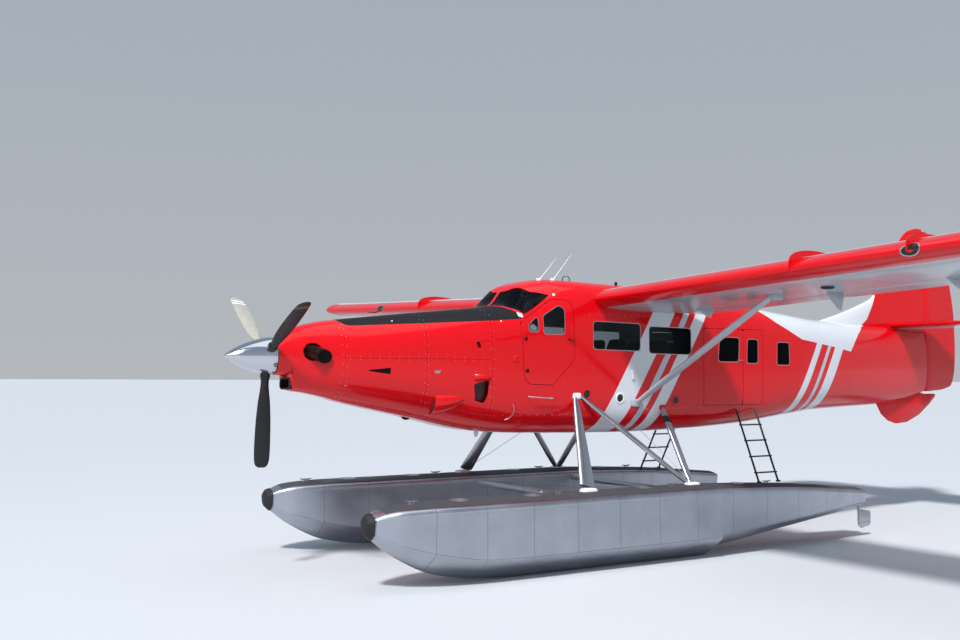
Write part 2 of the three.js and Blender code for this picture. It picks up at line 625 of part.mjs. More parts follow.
function makeCabin() {
  const shell = fuselageShell(FIREWALL_X + TOUCH_GAP, TAIL_SEAM_X, WALL);
  const band = (y0, y1, z0, z1) => box(0, TAIL_SEAM_X + 10, y0, y1, z0, z1);
  const windshieldCut = sidePrism(outset(WINDSHIELD, TOUCH_GAP), -BIG, BIG);
  const wingCut = wingRootCut(1).add(wingRootCut(-1));
  const sideCuts = [...SIDE_WINDOWS, REAR_WINDOW].map((w) => hole(w));
  const wall = (doors) => {
    const cuts = [...sideCuts, ...doors.map((d) => hole(d, DOOR_GAP)), windshieldCut, wingCut];
    const whole = shell.intersect(band(-BIG, -TOUCH_GAP / 2, BELLY_SPLIT_Z + TOUCH_GAP, ROOF_SPLIT_Z));
    return cuts.reduce((a, b) => a.subtract(b), whole);
  };
  const doubleDoor = [CABIN_DOOR_FRONT[0], CABIN_DOOR_REAR[1], CABIN_DOOR_REAR[2], CABIN_DOOR_FRONT[3]];
  add('left_side_wall', wall([CREW_DOOR, doubleDoor]), paint(RED));
  add('right_side_wall', mirrored(wall([CREW_DOOR, CABIN_DOOR_RIGHT])), paint(RED));
  add('cabin_roof', shell.intersect(band(-BIG, BIG, ROOF_SPLIT_Z + TOUCH_GAP, BIG))
    .subtract(windshieldCut).subtract(wingCut), paint(RED));
  add('belly_skin', shell.intersect(band(-BIG, BIG, -BIG, BELLY_SPLIT_Z)), paint(RED));

  const glazed = fuselageSolid(FIREWALL_X, TAIL_SEAM_X)
    .intersect(sidePrism(outset(WINDSHIELD, -WINDSHIELD_FRAME), -BIG, BIG));
  const inner = fuselageSolid(FIREWALL_X, TAIL_SEAM_X, GLASS, 5);
  add('windshield', glazed.subtract(inner), glassMaterial());
  const postHalf = 20;
  const whole = sidePrism(WINDSHIELD, -BIG, BIG);
  const opening = sidePrism(outset(WINDSHIELD, TOUCH_GAP - WINDSHIELD_FRAME), -BIG, BIG);
  const surround = shell.intersect(whole).subtract(opening);
  const centrePost = fuselageSolid(FIREWALL_X, TAIL_SEAM_X, GLASS + TOUCH_GAP)
    .subtract(fuselageSolid(FIREWALL_X, TAIL_SEAM_X, WALL, 5))
    .intersect(whole).intersect(box(FIREWALL_X, TAIL_SEAM_X, -postHalf, postHalf, 0, BIG));
  add('windshield_frame', surround.add(centrePost), paint(WHITE));

  const room = fuselageSolid(FIREWALL_X, TAIL_SEAM_X, WALL + 1);
  const wide = (x0, x1, z0, z1) => box(x0, x1, -BIG, BIG, z0, z1);
  const firewallAft = FIREWALL_X + 22;
  const { z0, z1 } = CABIN_FLOOR;
  const { outline, halfWidth } = INSTRUMENT_PANEL;
  add('firewall', room.intersect(wide(FIREWALL_X + 1, firewallAft, -BIG, BIG)), metal(0x9aa0a6, 0.5));
  add('cabin_floor', room.intersect(wide(firewallAft + 1, TAIL_SEAM_X - 3, z0, z1)), paint(0x4a4d52, 0.8));
  add('instrument_panel', room.intersect(sidePrism(outline, -halfWidth, halfWidth)), paint(0x1c1d20, 0.7));
}

function makeGlazing() {
  add('left_cabin_windows', panes(SIDE_WINDOWS), glassMaterial());
  add('right_cabin_windows', mirrored(panes(SIDE_WINDOWS)), glassMaterial());
  add('left_rear_window', pane(REAR_WINDOW), glassMaterial());
  add('right_rear_window', mirrored(pane(REAR_WINDOW)), glassMaterial());
}

function makeDoors() {
  const crew = door(CREW_DOOR, CREW_DOOR_WINDOWS);
  const crewGlass = panes(CREW_DOOR_WINDOWS);
  add('left_crew_door', crew, paint(RED));
  add('right_crew_door', mirrored(crew), paint(RED));
  add('left_crew_door_glass', crewGlass, glassMaterial());
  add('right_crew_door_glass', mirrored(crewGlass), glassMaterial());
  const leaves = [
    { name: 'left_cabin_door_front', outline: CABIN_DOOR_FRONT, window: DOOR_WINDOW_FRONT },
    { name: 'left_cabin_door_rear', outline: CABIN_DOOR_REAR, window: DOOR_WINDOW_REAR },
    { name: 'right_cabin_door', outline: CABIN_DOOR_RIGHT, window: DOOR_WINDOW_RIGHT },
  ];
  for (const { name, outline, window } of leaves) {
    const side = name.startsWith('right') ? mirrored : (solid) => solid;
    add(name, side(door(outline, [window])), paint(RED));
    add(`${name}_glass`, side(pane(window)), glassMaterial());
  }
}

// Seats: each row is a station and the sideways places of its seats, on two rails along the floor
const SEAT = { width: 440, depth: 430, cushionZ: -250, backTop: 320, thick: 110, recline: 120 };
const SEAT_ROWS = [
  { x: 3700, places: [-360, 360] }, { x: 4640, places: [-500, 0, 500] }, { x: 5420, places: [-500, 0, 500] },
  { x: 6200, places: [-500, 0, 500] },
];
const SEAT_RAIL = { width: 60, height: 14 };

function seatSolid(x, y) {
  const { width, depth, cushionZ, backTop, thick, recline } = SEAT;
  const floor = CABIN_FLOOR.z1 + TOUCH_GAP;
  const back = x + depth;
  const outline = [
    [x, cushionZ - thick], [x + 120, cushionZ - thick], [x + 120, floor], [back - 60, floor],
    [back - 60, cushionZ - thick], [back + 20, cushionZ - thick], [back + recline, backTop],
    [back + recline - thick, backTop], [back - thick + 20, cushionZ], [x, cushionZ],
  ];
  return sidePrism(outline, y - width / 2, y + width / 2);
}

function makeSeats() {
  const rows = SEAT_ROWS.flatMap(({ x, places }) => places.map((y) => seatSolid(x, y)));
  const [x0, x1] = [SEAT_ROWS[0].x + 130, SEAT_ROWS.at(-1).x + SEAT.depth];
  const floor = CABIN_FLOOR.z1 + TOUCH_GAP;
  const rails = [-430, 430].map((y) =>
    box(x0, x1, y - SEAT_RAIL.width / 2, y + SEAT_RAIL.width / 2, floor, floor + SEAT_RAIL.height));
  const ties = SEAT_ROWS.slice(1).map(({ x }) =>
    box(x + 150, x + 250, -450, 450, floor, floor + SEAT_RAIL.height));
  add('seats', [...rows, ...rails, ...ties].reduce((a, b) => a.add(b)), paint(0x3c4048, 0.85));
}

// A surface's flat section of given nose station, aft station and half thickness, in plan
function finSection(z, nose, aft, half, count = 7) {
  const side = [];
  for (let i = 0; i <= count; i++) {
    const s = i / count;
    const grow = Math.min(1, (s / 0.42) ** 0.62);
    side.push([nose + (aft - nose) * s * s * (1.4 - 0.4 * s), half * (i === 0 ? 0.1 : grow)]);
  }
  const other = side.slice().reverse().map(([x, y]) => [x, -y]);
  return [...side, ...other].map(([x, y]) => [x, y, z]);
}

function rudderSection({ z, x, r }) {
  const centre = { x: RUDDER_HINGE_X, z: 0 };
  const nose = arc(centre, r, 96, 264, 8);
  return [...nose, [x, -4], [x, 4]].map(([px, py]) => [px, py, z]);
}

function tailplaneSection(y, nose, aft, half) {
  return finSection(0, nose, aft, half).map(([x, t]) => [x, y, TAILPLANE.z + t]);
}

// The tailplane from tip to tip; fat makes it a little larger for the slots it passes through
function tailplaneSolid(fat = 0) {
  const { rootLe, tipLe, tipY, hingeX, hingeHalf } = TAILPLANE;
  const aft = hingeX - hingeHalf - SURFACE_GAP + fat;
  // Half span stations: share of the half span, how far the nose moves back, share of the thickness
  const stations = [[1, 330, 0.35], [0.985, 150, 0.6], [0.93, 40, 0.85], [0.86, 0, 0.95], [0.05, 0, 1.3]];
  const half = stations.map(([share, back, thick]) => {
    const nose = THREE.MathUtils.lerp(rootLe, tipLe, share) + back - fat;
    return tailplaneSection(share * tipY, nose, aft, hingeHalf * thick + fat);
  });
  const left = half.map((ring) => ring.map(([x, y, z]) => [x, -y, z]));
  return loft([...left, ...half.slice().reverse()], (p) => [p[0], p[2]]);
}

function elevatorSolid() {
  const { hingeX, hingeHalf, z, tipY } = TAILPLANE;
  const centre = { x: hingeX, z };
  // Half span stations: y, trailing edge station, nose radius
  const stations = [
    [135, 12960, 34], [420, 13460, 40], [2750, 13340, 38], [3080, 13240, 34], [tipY - 20, 13040, 22],
  ];
  const rings = stations.map(([y, aft, r]) => {
    const outline = [...arc(centre, Math.min(r, hingeHalf), 96, 264, 8), [aft, z - 4], [aft, z + 4]];
    return outline.map(([x, height]) => [x, y, height]);
  });
  const half = loft(rings, (p) => [p[0], p[2]]);
  const { half: reach, diameter } = TORQUE_TUBE;
  return half.add(mirrored(half))
    .add(bar([hingeX, -reach, z], [hingeX, reach, z], diameter, diameter, diameter, 12));
}

function makeTail() {
  const tail = fuselageSolid(TAIL_SEAM_X + TOUCH_GAP, SECTIONS.at(-1).x);
  const hollow = fuselageSolid(TAIL_SEAM_X + TOUCH_GAP, SECTIONS.at(-1).x - TAIL_WALL, TAIL_WALL, 5);
  const bulkhead = tail.intersect(box(TAIL_SEAM_X, TAIL_SEAM_X + TAIL_WALL, -BIG, BIG, -BIG, BIG));
  const hatch = box(TAIL_SEAM_X - 20, TAIL_SEAM_X + 60, -TAIL_HATCH.half, TAIL_HATCH.half,
    TAIL_HATCH.z0, TAIL_HATCH.z1);
  const { hingeX, z } = TAILPLANE;
  const { bore: boreSize } = TORQUE_TUBE;
  const bore = bar([hingeX, -300, z], [hingeX, 300, z], boreSize, boreSize, boreSize, 16);
  const stub = tailplaneSolid(TOUCH_GAP);
  const slot = box(11760, hingeX + 10, -400, 400, z - 60, z);
  const belowStub = slot.intersect(fuselageSolid(11760, SECTIONS.at(-1).x, -20));
  add('tail_cone', tail.subtract(hollow).add(bulkhead).subtract(hatch).subtract(stub).subtract(bore),
    paint(RED));

  const aft = RUDDER_HINGE_X - FIN[0].half - RUDDER_NOSE_GAP;
  const finSolid = loft(FIN.map((row) => finSection(row.z, row.x, aft, row.half)), (p) => [p[0], p[1]]);
  add('fin', finSolid.subtract(fuselageSolid(8700, SECTIONS.at(-1).x, -TOUCH_GAP, 40))
    .subtract(stub).subtract(bore).subtract(belowStub), paint(RED));
  const rudder = loft(RUDDER.map(rudderSection), (p) => [p[0], p[1]]);
  add('rudder', rudder, paint(RED));
  add('ventral_fin', sidePrism(VENTRAL_FIN, -VENTRAL_HALF, VENTRAL_HALF)
    .subtract(fuselageSolid(10500, SECTIONS.at(-1).x, -TOUCH_GAP, 1)), paint(RED));
  add('tailplane', tailplaneSolid(), paint(GREY));
  add('elevator', elevatorSolid(), paint(GREY));
}

// A float section: keel flat, chine, deck edge and crowned deck on each side, drawn out by grow
function floatRing({ x, deck, chine, top, edge, keel }, grow = 0) {
  const { round, crown } = FLOAT_DECK;
  const half = [
    [FLOAT_KEEL_HALF, keel], [chine * 0.55, THREE.MathUtils.lerp(keel, edge, 0.47)],
    [chine, edge], [(deck + chine) / 2, (edge + top - round) / 2], [deck, top - round],
    [deck * 0.94, top - round / 4], [deck * 0.7, top + crown * 0.6], [deck * 0.3, top + crown],
  ];
  const other = half.slice().reverse().map(([y, z]) => [-y, z]);
  return outset([...half, ...other], grow).map(([y, z]) => [x, FLOAT_Y + y, z]);
}

// The hull ahead of the step, drawn out by grow
function floatFore(grow = 0) {
  const rings = FLOAT_FORE.map((row) => floatRing(row, grow));
  rings[0] = rings[0].map(([x, y, z]) => [x - grow, y, z]);
  return loft(rings);
}

function floatAft(grow = 0) {
  return loft(FLOAT_AFT.map((row) => floatRing(row, grow)));
}

function bowBumper() {
  const { x0, x1, proud } = BUMPER;
  const rows = FLOAT_FORE.slice(0, 3);
  const middle = (rows[0].top + rows[0].keel) / 2;
  const nose = floatRing(rows[0]).map(([, y, z]) =>
    [x0, THREE.MathUtils.lerp(FLOAT_Y, y, 0.75), THREE.MathUtils.lerp(middle, z, 0.75)]);
  const around = loft([nose, ...rows.map((row) => floatRing(row, proud))])
    .intersect(box(x0, x1, 0, BIG, -BIG, 0));
  return around.subtract(floatFore(2 * TOUCH_GAP));
}

// Struts of one float: an N of bars that meet at the four fittings
function floatStruts() {
  const { topX, topZ, footX, topChord, footChord } = STRUT_FRONT;
  const frontTop = [topX, FUSELAGE_FITTING_Y, topZ];
  const diagonalTop = [topX + 64, FUSELAGE_FITTING_Y + 6, topZ + 30];
  const rearTop = [STRUT_REAR.topX, FUSELAGE_FITTING_Y, STRUT_REAR.topZ];
  const frontFoot = [footX, FLOAT_Y, STRUT_FOOT_Z];
  const rearFoot = [STRUT_REAR.footX, FLOAT_Y, STRUT_FOOT_Z];
  const { topChord: rearChord } = STRUT_REAR;
  const fitting = ([x, y, z], size) =>
    box(x - size, x + size, y - size * 0.6, y + size * 0.6, z - 8, z + 63);
  return bar(frontTop, frontFoot, topChord, 62, footChord)
    .add(bar(rearTop, rearFoot, rearChord, 60))
    .add(bar(diagonalTop, rearFoot, 88, 48))
    .add(fitting(frontFoot, 120))
    .add(fitting(rearFoot, 120))
    .subtract(floatFore(TOUCH_GAP))
    .subtract(fuselageSolid(FIREWALL_X, TAIL_SEAM_X, -TOUCH_GAP));
}

function spreaderBar(x) {
  const hull = floatFore(TOUCH_GAP);
  const size = 2 * SPREADER_RADIUS;
  const whole = bar([x, -FLOAT_Y, SPREADER_Z], [x, FLOAT_Y, SPREADER_Z], size, size);
  return whole.subtract(hull).subtract(mirrored(hull));
}

function waterRudder() {
  const { postX, radius, z0, z1, noseX, aftX, thick } = WATER_RUDDER;
  const blade = [
    [noseX, z0 + 60], [noseX + 66, z0], [aftX, z0 + 40], [aftX, z0 + 250], [noseX, z0 + 300],
  ];
  return sidePrism(blade, FLOAT_Y - thick / 2, FLOAT_Y + thick / 2)
    .add(bar([postX, FLOAT_Y, z0 + 120], [postX, FLOAT_Y, z1], 2 * radius, 2 * radius));
}

function transomBrackets() {
  const { fromX, toX, half, capZ, eyeZ, run } = TRANSOM;
  const plate = ([z0, z1]) => box(fromX, toX, FLOAT_Y - half, FLOAT_Y + half, z0, z1);
  const { postX, radius } = WATER_RUDDER;
  const bore = 2 * (radius + run);
  const eye = plate(eyeZ)
    .subtract(bar([postX, FLOAT_Y, eyeZ[0] - 10], [postX, FLOAT_Y, eyeZ[1] + 10], bore, bore, bore, 16));
  return plate(capZ).add(eye);
}

function makeFloats() {
  const { x, length, width, height } = CLEAT;
  const deck = tableAt(FLOAT_FORE, 'top', x) + FLOAT_DECK.crown;
  const cleat = box(x, x + length, FLOAT_Y - width / 2, FLOAT_Y + width / 2, deck - 20, deck + height);
  const hull = floatFore().add(floatAft()).add(cleat).add(transomBrackets());
  addPair('float', hull, () => metal(0xb4b8bd, 0.4));
  addPair('bow_bumper', bowBumper(), () => paint(0x17181a, 0.8));
  addPair('float_struts', floatStruts(), () => metal(0xc2c5c9, 0.35));
  add('front_spreader_bar', spreaderBar(STRUT_FRONT.footX), metal(0xb4b8bd, 0.4));
  add('rear_spreader_bar', spreaderBar(STRUT_REAR.footX), metal(0xb4b8bd, 0.4));
  addPair('water_rudder', waterRudder(), () => metal(0xb4b8bd, 0.4));
}

// A boarding ladder: two rails and rungs, from the sill of the cabin door to the float deck
const LADDER = { topX: 7190, footX: 7110, width: 400, rungs: 4, rail: 30 };

function boardingLadder() {
  const { topX, footX, width, rungs, rail } = LADDER;
  const [top, foot] = [[0, 800, -735], [0, 1330, -1800]];
  const at = (share, dx) => [
    THREE.MathUtils.lerp(topX, footX, share) + dx,
    THREE.MathUtils.lerp(top[1], foot[1], share),
    THREE.MathUtils.lerp(top[2], foot[2], share),
  ];
  let ladder = bar(at(0, 0), at(1, 0), rail, rail, rail, 6)
    .add(bar(at(0, width), at(1, width), rail, rail, rail, 6));
  for (let i = 1; i <= rungs; i++) {
    const share = i / (rungs + 0.6);
    ladder = ladder.add(bar(at(share, -10), at(share, width + 10), 60, 24, 60, 4));
  }
  return ladder.subtract(floatAft(TOUCH_GAP))
    .subtract(fuselageSolid(FIREWALL_X, TAIL_SEAM_X, -TOUCH_GAP));
}

makePropeller();
makeEngineBay();
makeCabin();
makeGlazing();
makeDoors();
makeSeats();
makeTail();
makeWings();
makeFloats();
addPair('boarding_ladder', boardingLadder(), () => paint(0x1c1d20, 0.5));

aircraft.position.set(-(SPINNER_TIP_X + RUDDER_AFT_X) / 2, 0, KEEL_BELOW_THRUST);

export default aircraft;
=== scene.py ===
# %% [markdown]
# # A turboprop floatplane, surface by surface
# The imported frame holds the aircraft's construction: its doors, control surfaces and propeller turn on
# their real axes. This lesson dresses that frame. Almost every skin of an aircraft is a smooth
# function of two parameters, so each piece below is a grid of points worked out with numpy and handed
# to Blender in one go. We start by loading the frame and keeping its box, which the looks stay inside.

import bpy
import numpy as np
from mathutils import Matrix, Vector, geometry


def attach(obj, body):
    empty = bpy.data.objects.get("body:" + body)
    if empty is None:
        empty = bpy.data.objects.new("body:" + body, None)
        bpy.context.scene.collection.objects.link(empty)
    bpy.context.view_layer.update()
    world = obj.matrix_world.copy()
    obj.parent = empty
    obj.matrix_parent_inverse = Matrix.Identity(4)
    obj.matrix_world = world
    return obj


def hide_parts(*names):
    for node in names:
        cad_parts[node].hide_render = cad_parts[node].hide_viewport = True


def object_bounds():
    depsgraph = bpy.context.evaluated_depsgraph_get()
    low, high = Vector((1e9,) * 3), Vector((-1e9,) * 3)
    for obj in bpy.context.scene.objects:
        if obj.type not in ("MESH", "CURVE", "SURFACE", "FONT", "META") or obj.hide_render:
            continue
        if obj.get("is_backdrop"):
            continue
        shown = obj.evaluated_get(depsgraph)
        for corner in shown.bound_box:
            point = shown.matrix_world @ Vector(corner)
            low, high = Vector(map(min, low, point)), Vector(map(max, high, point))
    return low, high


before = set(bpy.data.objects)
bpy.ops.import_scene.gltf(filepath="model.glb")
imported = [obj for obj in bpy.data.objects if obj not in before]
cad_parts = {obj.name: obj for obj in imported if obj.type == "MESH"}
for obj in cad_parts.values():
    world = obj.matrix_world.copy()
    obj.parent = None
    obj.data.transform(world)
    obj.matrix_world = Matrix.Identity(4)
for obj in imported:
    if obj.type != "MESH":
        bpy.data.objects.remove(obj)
cad_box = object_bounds()
print("frame box", [round(v, 3) for corner in cad_box for v in corner])

# %% [markdown]
# ## One frame for everything
# Aircraft drawings give places as a station, measured aft from the propeller, and a height above the
# thrust line, in millimetres. Every table below keeps to that, with y to starboard, and one small
# function moves such points into the frame's metres.

# %% Stations to metres
STATION_ORIGIN = 6.6215  # the frame's x = 0, in metres aft of the propeller
KEEL_DEPTH = 2.68  # the float keels lie this far below the thrust line


def placed(points):
    """Millimetres of station, side and height as metres of the frame: a thousandth, then a shift."""
    return np.asarray(points, float) * 0.001 + (-STATION_ORIGIN, 0.0, KEEL_DEPTH)


print("propeller centre", placed([0, 0, 0]).round(3))

# %% [markdown]
# ## Camera
# The camera stands off the port bow, about a metre and a half above the float decks, and looks slightly
# up. Its place came from fitting known lengths of the aircraft to the picture. A matrix whose columns
# are right, up and backwards turns it.

# %% Camera
CAMERA_AT = (-11.394, -12.669, 2.450)
CAMERA_LENS, CAMERA_SENSOR = 40.39, 36.0
yaw, pitch, roll = np.radians([31.8758, 2.9375, 0.1837])

ahead = np.array([np.sin(yaw) * np.cos(pitch), np.cos(yaw) * np.cos(pitch), np.sin(pitch)])
level_right = np.array([np.cos(yaw), -np.sin(yaw), 0.0])
level_up = np.cross(level_right, ahead)
right = np.cos(roll) * level_right + np.sin(roll) * level_up
up = np.cos(roll) * level_up - np.sin(roll) * level_right
turn = np.eye(4)
turn[:3, :3] = np.stack([right, up, -ahead], axis=1)
turn[:3, 3] = CAMERA_AT

lens = bpy.data.cameras.new("camera")
lens.lens, lens.sensor_width = CAMERA_LENS, CAMERA_SENSOR
lens.clip_end = 500
camera = bpy.data.objects.new("camera", lens)
bpy.context.scene.collection.objects.link(camera)
camera.matrix_world = Matrix(turn.tolist())
bpy.context.scene.camera = camera
bpy.context.scene.view_settings.view_transform = "Standard"
print("camera looks along", ahead.round(3))

# %% [markdown]
# ## Colours and shader nodes
# Paint charts give colours as sRGB, while light adds up in linear values, so one function converts them.
# Another adds a shader node with its settings, values and links in one line.

# %% Colours and nodes
def colour(hex_value, alpha=1.0):
    """An sRGB hex colour as linear light: c / 12.92 below 0.04045, else ((c + 0.055) / 1.055) ** 2.4."""
    srgb = np.array([int(hex_value[i:i + 2], 16) for i in (1, 3, 5)]) / 255
    linear = np.where(srgb <= 0.04045, srgb / 12.92, ((srgb + 0.055) / 1.055) ** 2.4)
    return (*linear.tolist(), alpha)


def add_node(tree, kind, inputs=None, **settings):
    """Adds a shader node. Settings are its properties. Inputs are its sockets' values or what is linked in:
    a socket, or a node, which stands for its first output in use."""
    made = tree.nodes.new("ShaderNode" + kind)
    for key, value in settings.items():
        setattr(made, key, value)
    for key, value in (inputs or {}).items():
        if isinstance(value, bpy.types.Node):
            value = next(output for output in value.outputs if output.enabled)
        if isinstance(value, bpy.types.NodeSocket):
            tree.links.new(value, made.inputs[key])
        else:
            made.inputs[key].default_value = value
    return made


def finish(name):
    """A material without a shader yet, its tree, and the Object coordinates that its patterns read."""
    material = bpy.data.materials.new(name)
    material.use_nodes = True
    tree = material.node_tree
    tree.nodes.clear()
    return material, tree, add_node(tree, "TexCoord").outputs["Object"]


def mottled(tree, place, hex_value, low, high, scale, detail=4.0, harsh=0.5):
    """A noise, and a tone that follows it from low to high times a colour."""
    noise = add_node(tree, "TexNoise", {"Vector": place, "Scale": scale, "Detail": detail,
                                        "Roughness": harsh})
    base = np.array(colour(hex_value)[:3])
    return noise, add_node(tree, "Mix", {"Factor": noise, "A": (*(base * low), 1),
                                         "B": (*np.minimum(base * high, 1), 1)}, data_type="RGBA")


RED, WHITE, STRIPE_GREY = "#d2020f", "#d3d7dc", "#b9c0ca"
print("red enamel in linear light", np.round(colour(RED), 3))

# %% [markdown]
# ## Floor and light
# The floor is large, pale and plain. The light is soft: a high key and a panel from the port bow, a broad
# panel overhead and a pale sky all round, so that the gloss paint has something to mirror.

# %% Floor, sky and lamps
floor_paper, tree, _ = finish("floor_paper")
shader = add_node(tree, "BsdfPrincipled", {"Base Color": colour("#c6c9cd"), "Roughness": 0.85})
add_node(tree, "OutputMaterial", {"Surface": shader})
FLOOR_HALF, FLOOR_LEVEL = 600.0, -0.002
floor_mesh = bpy.data.meshes.new("floor")
corners = np.array([[-1, -1], [1, -1], [1, 1], [-1, 1]]) * FLOOR_HALF
floor_mesh.from_pydata(np.c_[corners, np.full(4, FLOOR_LEVEL)].tolist(), [], [(0, 1, 2, 3)])
floor_mesh.materials.append(floor_paper)
floor = bpy.data.objects.new("floor", floor_mesh)
bpy.context.scene.collection.objects.link(floor)
floor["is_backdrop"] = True

sky = bpy.data.worlds.new("sky")
bpy.context.scene.world = sky
sky.use_nodes = True
tree = sky.node_tree
tree.nodes.clear()
direction = add_node(tree, "TexCoord").outputs["Generated"]
height = add_node(tree, "SeparateXYZ", {"Vector": direction}).outputs["Z"]
shade = add_node(tree, "ValToRGB", {"Fac": height})
shade.color_ramp.elements[0].color = colour("#dfe4ea")
shade.color_ramp.elements[1].color = colour("#b7cbe2")
shade.color_ramp.elements[1].position = 0.65
light = add_node(tree, "Background", {"Color": shade, "Strength": 0.62})
add_node(tree, "OutputWorld", {"Surface": light})

LAMPS = [  # name, kind, place, target, size in metres or spread in degrees, strength
    ("high_key", "SUN", (-12, -10, 19), (0, 0, 0), 7, 3.8),
    ("overhead_panel", "AREA", (-3, -2, 15), (0, 0, 2), 12, 420),
    ("bow_panel", "AREA", (-18, -9, 10), (-3, 0, 2), 8, 320),
]
for name, kind, place, target, size, strength in LAMPS:
    lamp = bpy.data.lights.new(name, kind)
    lamp.energy = strength
    if kind == "SUN":
        lamp.angle = np.radians(size)
    else:
        lamp.size = size
    holder = bpy.data.objects.new(name, lamp)
    bpy.context.scene.collection.objects.link(holder)
    holder.location = place
    holder.rotation_euler = (Vector(target) - Vector(place)).to_track_quat("-Z", "Y").to_euler()
print("lamps", [row[0] for row in LAMPS])

# %% [markdown]
# ## From arrays to a mesh
# All pieces go through one function. A part is a pair: points in millimetres, and blocks of faces, each
# block an array with one face a row. Where the true surface is known, its exact normals can travel
# along, so that gloss paint shows no facets. Closed shapes get their faces turned outward by the sign
# of their volume.

# %% Mesh helpers
SLOTS = {  # the slot that a material's pieces would take unless a call names another; mesh_piece looks it up and gives it to no piece
    "polyurethane_enamel_livery": "red_paint", "polyurethane_enamel_red": "red_paint",
    "polyurethane_enamel_grey": "grey_paint", "polyurethane_enamel_wing": "grey_paint",
    "polyurethane_enamel_tailplane": "grey_paint", "polyurethane_enamel_flaps": "grey_paint",
    "polyurethane_enamel_white": "trim_white", "bare_aluminium_sheet": "bare_aluminium",
    "riveted_aluminium_hull": "bare_aluminium", "rolled_aluminium_fairing": "bare_aluminium",
    "propeller_epoxy_paint": "blade_paint", "heat_stained_steel": "exhaust_steel",
    "acrylic_glazing": "glazing", "black_rubber": "bumper_rubber",
    "grey_moulded_trim": "interior_plastic", "charcoal_seat_leather": "seat_fabric",
}


def mesh_piece(name, part, material, body="airframe", stands_for=(), crease=32, fields=None, slot=None):
    """A mesh from a part, smooth up to a crease angle in degrees, riding on a body of the frame."""
    points, faces = part[:2]
    mesh = bpy.data.meshes.new(name)
    corners = np.concatenate([np.ravel(block) for block in faces]).astype(np.int32)
    sizes = np.concatenate([np.full(len(block), np.shape(block)[1]) for block in faces]).astype(np.int32)
    mesh.vertices.add(len(points))
    mesh.vertices.foreach_set("co", placed(points).astype(np.float32).ravel())
    mesh.loops.add(len(corners))
    mesh.loops.foreach_set("vertex_index", corners)
    mesh.polygons.add(len(sizes))
    mesh.polygons.foreach_set("loop_start", np.concatenate([[0], np.cumsum(sizes)[:-1]]).astype(np.int32))
    mesh.polygons.foreach_set("loop_total", sizes)
    mesh.update(calc_edges=True)
    mesh.shade_smooth()
    mesh.set_sharp_from_angle(angle=np.radians(crease))
    if len(part) > 2:
        mesh.normals_split_custom_set(part[2].tolist())
    for key, values in (fields or {}).items():
        mesh.attributes.new(key, "FLOAT", "POINT").data.foreach_set("value", np.float32(values))
    mesh.materials.append(material)
    piece = bpy.data.objects.new(name, mesh)
    bpy.context.scene.collection.objects.link(piece)
    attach(piece, body)
    if stands_for:
        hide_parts(*stands_for)
    slot = slot or SLOTS.get(material.name)
    return piece if slot else piece


def outward(points, faces):
    """Turns a closed shape's faces out. Its volume is the sum of a . (b x c) / 6 over its triangles, and
    where that is negative every face is reversed."""
    volume = 0.0
    middle = points.mean(axis=0)
    for block in faces:
        block = np.asarray(block)
        for k in range(1, block.shape[1] - 1):
            a, b, c = (points[block[:, i]] - middle for i in (0, k, k + 1))
            volume += np.einsum("ij,ij->", a, np.cross(b, c))
    return faces if volume > 0 else [np.asarray(block)[:, ::-1] for block in faces]


def grid_faces(rows, columns, wrap=False):
    """Quads between neighbours of a grid numbered row by row; wrap joins the last column to the first."""
    i = np.arange(rows - 1)[:, None] * columns
    j = np.arange(columns if wrap else columns - 1)[None, :]
    k = (j + 1) % columns
    return np.stack([i + j, i + k, i + columns + k, i + columns + j], -1).reshape(-1, 4)


def lofted(rings):
    """A closed skin through rings of shape (rings, points, 3), with a flat cap at each end."""
    rings = np.asarray(rings, float)
    count, around = rings.shape[:2]
    points = rings.reshape(-1, 3)
    first = np.arange(around)[None, ::-1]
    return points, outward(points, [grid_faces(count, around, True), first,
                                    first[:, ::-1] + (count - 1) * around])


def joined(*parts):
    """Several parts as one, with the later faces renumbered past the earlier points."""
    shift, points, faces = 0, [], []
    for part in parts:
        points.append(part[0])
        faces += [np.asarray(block) + shift for block in part[1]]
        shift += len(part[0])
    return np.concatenate(points), faces


def mirrored(part):
    """The same part on the other side: y changes sign and every face is reversed to stay outward."""
    faces = [np.asarray(block)[:, ::-1] for block in part[1]]
    if len(part) == 2:
        return part[0] * (1, -1, 1), faces
    ends = np.cumsum([block.size for block in part[1]])[:-1]
    normals = [chunk.reshape(*block.shape, 3)[:, ::-1].reshape(-1, 3)
               for chunk, block in zip(np.split(part[2], ends), part[1])]
    return part[0] * (1, -1, 1), faces, np.concatenate(normals) * (1, -1, 1)


def pair(name, part, material, bodies=("airframe", "airframe"), stands_for="", **more):
    """A port and a starboard piece from a part modelled to port."""
    for side, body, shape in (("left", bodies[0], part), ("right", bodies[1], mirrored(part))):
        nodes = (f"{side}_{stands_for}",) if stands_for else ()
        mesh_piece(f"{side}_{name}", shape, material, body, nodes, **more)


print("mesh helpers ready")

# %% [markdown]
# ## Bars, blocks and outlines
# Struts, handles and tubes are rings carried along a path, and feet are blocks with soft edges. Flat
# outlines get rounded corners and are moved out or in, and points are tested against them.

# %% Bars, blocks and outlines
def unit(vectors):
    """Vectors divided by their lengths."""
    return vectors / np.linalg.norm(vectors, axis=-1, keepdims=True)


